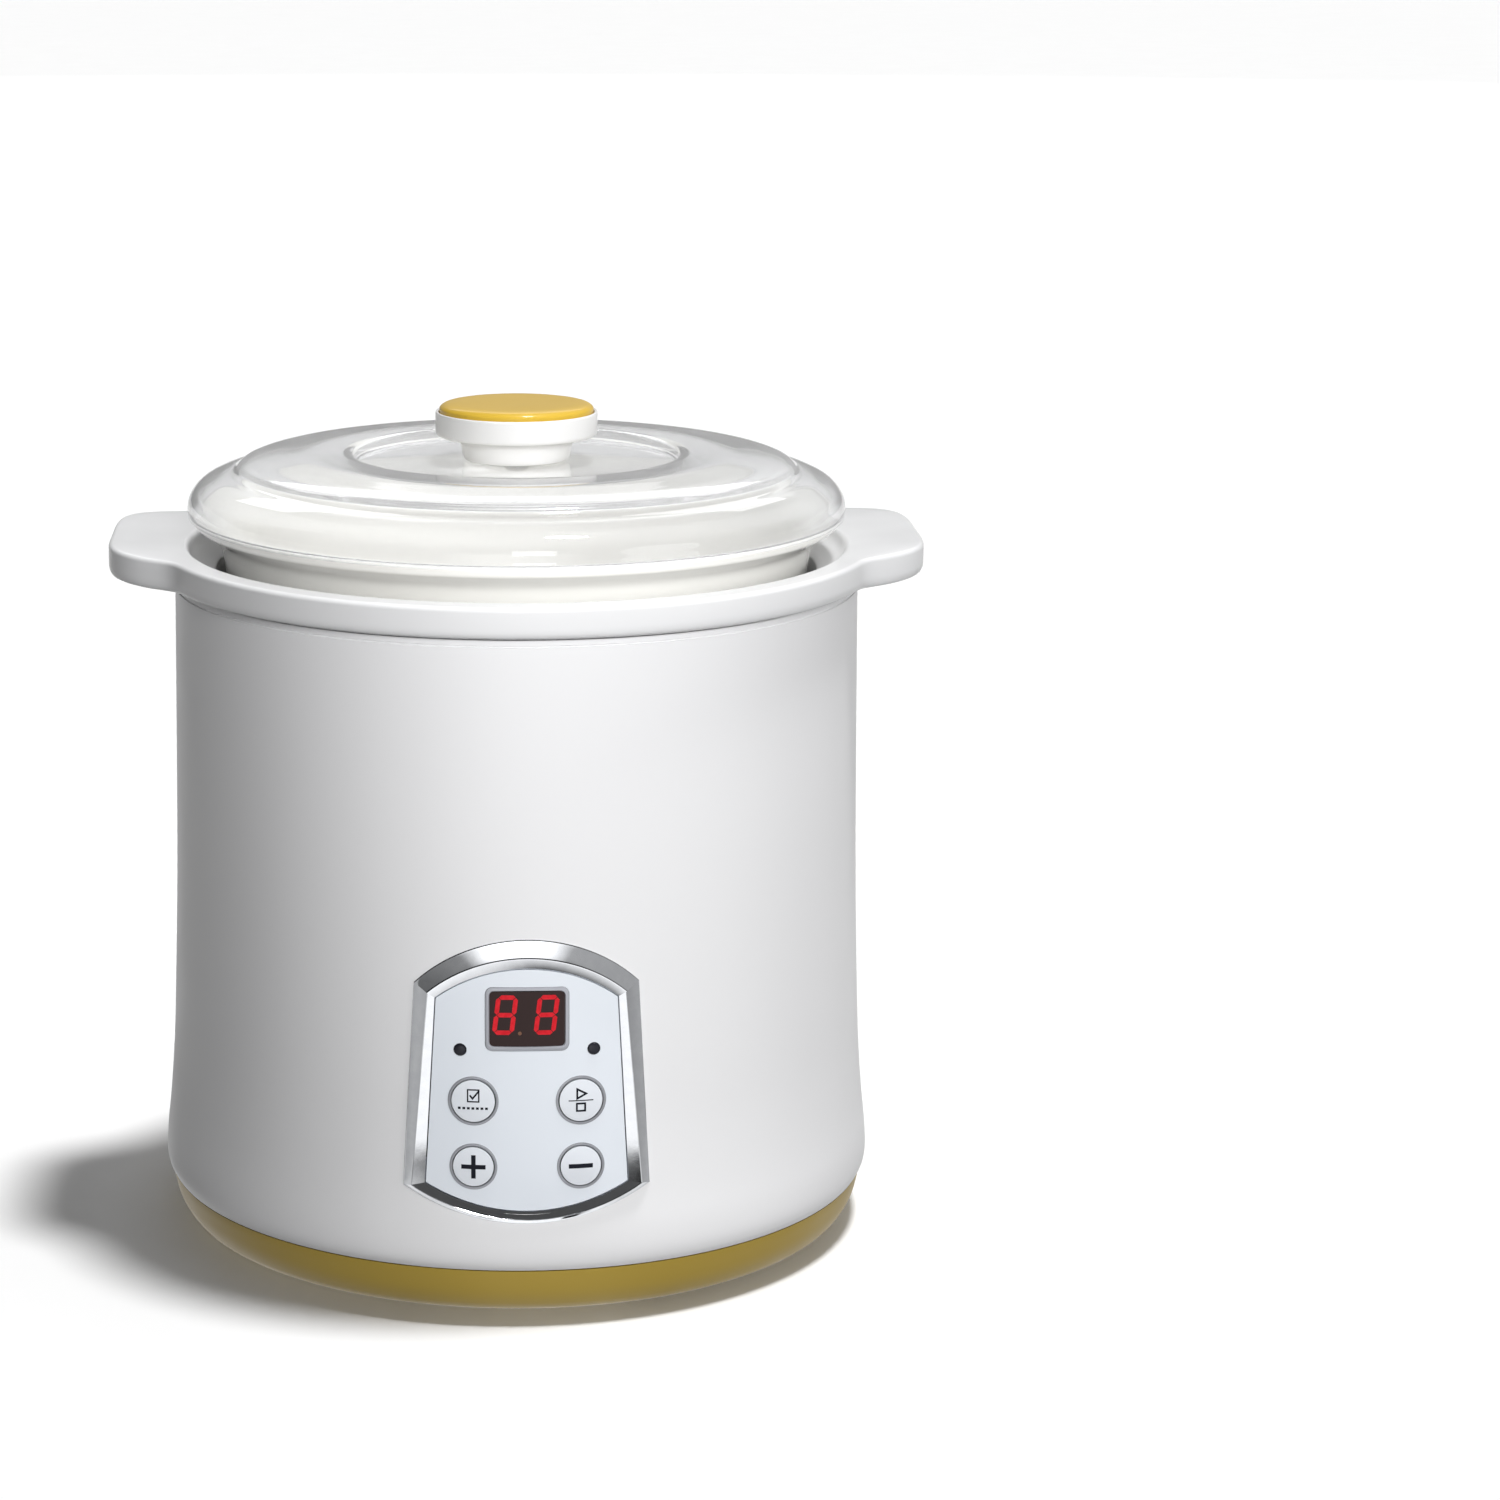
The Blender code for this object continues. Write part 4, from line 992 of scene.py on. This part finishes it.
def make_world():
    """Studio surroundings: a band along the horizon, a dimmer sky above, dark below; plain pale to the camera."""
    world = bpy.data.worlds.new("studio")
    bpy.context.scene.world = world
    world.use_nodes = True
    tree = world.node_tree
    place = tree.nodes.new("ShaderNodeTexCoord")
    (low, sharp, high), (_, _, z) = by_azimuth(tree, place.outputs["Generated"], LOW_SKY, GLOSS_SKY, HIGH_SKY)
    path = tree.nodes.new("ShaderNodeLightPath")
    low = blended(tree, low, sharp, path.outputs["Is Glossy Ray"])
    height = math_node(tree, "MULTIPLY_ADD", z, 0.5, 0.5)          # 0 straight down, 0.5 level, 1 straight up
    share = ramp_node(tree, height, [(0.62, 0.0), (0.70, 1.0)])
    above = ramp_node(tree, height, [(0.45, 0.02), (0.48, 1.0)])
    glow = math_node(tree, "MULTIPLY", blended(tree, low, high, share), above)
    seen = math_node(tree, "MAXIMUM", glow, math_node(tree, "MULTIPLY", path.outputs["Is Camera Ray"], 1.1))
    tree.links.new(seen, tree.nodes["Background"].inputs["Color"])


def make_gloss_table():
    """A disc just above the floor that only reflections see, so chrome gets light and dark bands."""
    material = new_material("gloss_table", Base_Color=(0.0, 0.0, 0.0), Specular_IOR_Level=0.0,
                            Emission_Strength=1.0)
    tree = material.node_tree
    place = tree.nodes.new("ShaderNodeTexCoord")
    (far, near), (x, y, _) = by_azimuth(tree, place.outputs["Object"], FAR_TABLE, NEAR_TABLE)
    reach = math_node(tree, "SQRT", math_node(tree, "MULTIPLY_ADD", x, x, math_node(tree, "MULTIPLY", y, y)))
    close = ramp_node(tree, reach, [(0.15, 0.0), (0.18, 1.0), (0.250, 1.0), (0.265, 0.0)])
    bright = ramp_node(tree, reach, [(0.13, 0.9), (0.17, 0.0)])
    level = math_node(tree, "MAXIMUM", blended(tree, far, near, close), bright)
    tree.links.new(level, tree.nodes["Principled BSDF"].inputs["Emission Color"])
    table = stage_disc("gloss_table", TABLE_R, TABLE_Z, material)
    table.visible_camera = False
    table.visible_transmission = False
    table.visible_shadow = False


def towards(azimuth, elevation):
    """Unit vector to a place seen from the object; azimuth 0 is the front and 90 the right."""
    a, e = math.radians(azimuth), math.radians(elevation)
    return Vector((math.sin(a) * math.cos(e), -math.cos(a) * math.cos(e), math.sin(e)))


def add_light(name, light, azimuth, elevation, in_gloss):
    """Put a light in the scene, shining from a direction; it may be left out of sharp reflections."""
    obj = linked(name, light)
    obj.rotation_mode = "QUATERNION"
    obj.rotation_quaternion = (-towards(azimuth, elevation)).to_track_quat("-Z", "Y")
    obj.visible_glossy = in_gloss
    return obj


def add_sun(name, azimuth, elevation, strength, softness, in_gloss=True):
    """A distant softbox; softness is the angle it fills."""
    light = bpy.data.lights.new(name, "SUN")
    light.energy = strength
    light.angle = math.radians(softness)
    return add_light(name, light, azimuth, elevation, in_gloss)


def add_softbox(name, azimuth, elevation, distance, size, power, aim_z, in_gloss=True):
    """A rectangular softbox at a distance from a point on the object's axis."""
    light = bpy.data.lights.new(name, "AREA")
    light.energy = power
    light.shape = "RECTANGLE"
    light.size, light.size_y = size
    obj = add_light(name, light, azimuth, elevation, in_gloss)
    obj.location = Vector((0.0, 0.0, aim_z)) + towards(azimuth, elevation) * distance
    obj.visible_camera = False
    return obj


def spare(floor, lights):
    """Let the lights shine on the object only, so that its shadow on the floor stays dark."""
    spared = bpy.data.collections.new("spared_floor")
    spared.objects.link(floor)
    spared.collection_objects[0].light_linking.link_state = "EXCLUDE"
    for light in lights:
        light.light_linking.receiver_collection = spared


def make_camera():
    """Long lens from the front, a little above; the shift places the object left of the middle."""
    yaw, pitch = math.radians(1.65), math.radians(13.3)
    distance, height = 1.162, 0.421
    data = bpy.data.cameras.new("camera")
    data.sensor_width = 36.0
    data.lens = 92.6
    data.shift_x = 0.1557
    data.clip_start = 0.05
    camera = linked("camera", data)
    camera.location = (-distance * math.sin(yaw), -distance * math.cos(yaw), height)
    camera.rotation_euler = (math.pi / 2 - pitch, 0.0, -yaw)
    bpy.context.scene.camera = camera


pale_floor = make_floor()
make_gloss_table()
make_world()
add_sun("overhead", 90, 81, 2.6, 8)
spare(pale_floor, [add_sun("front_right", 50, 9, 0.92, 30, False),
                   add_softbox("back_top", 180, 36, 1.6, (1.1, 0.35), 2.4, 0.12),
                   add_softbox("near_front", 4, 20, 0.52, (0.12, 0.12), 1.15, 0.17, False)])
make_camera()
bpy.context.scene.view_settings.view_transform = "Standard"
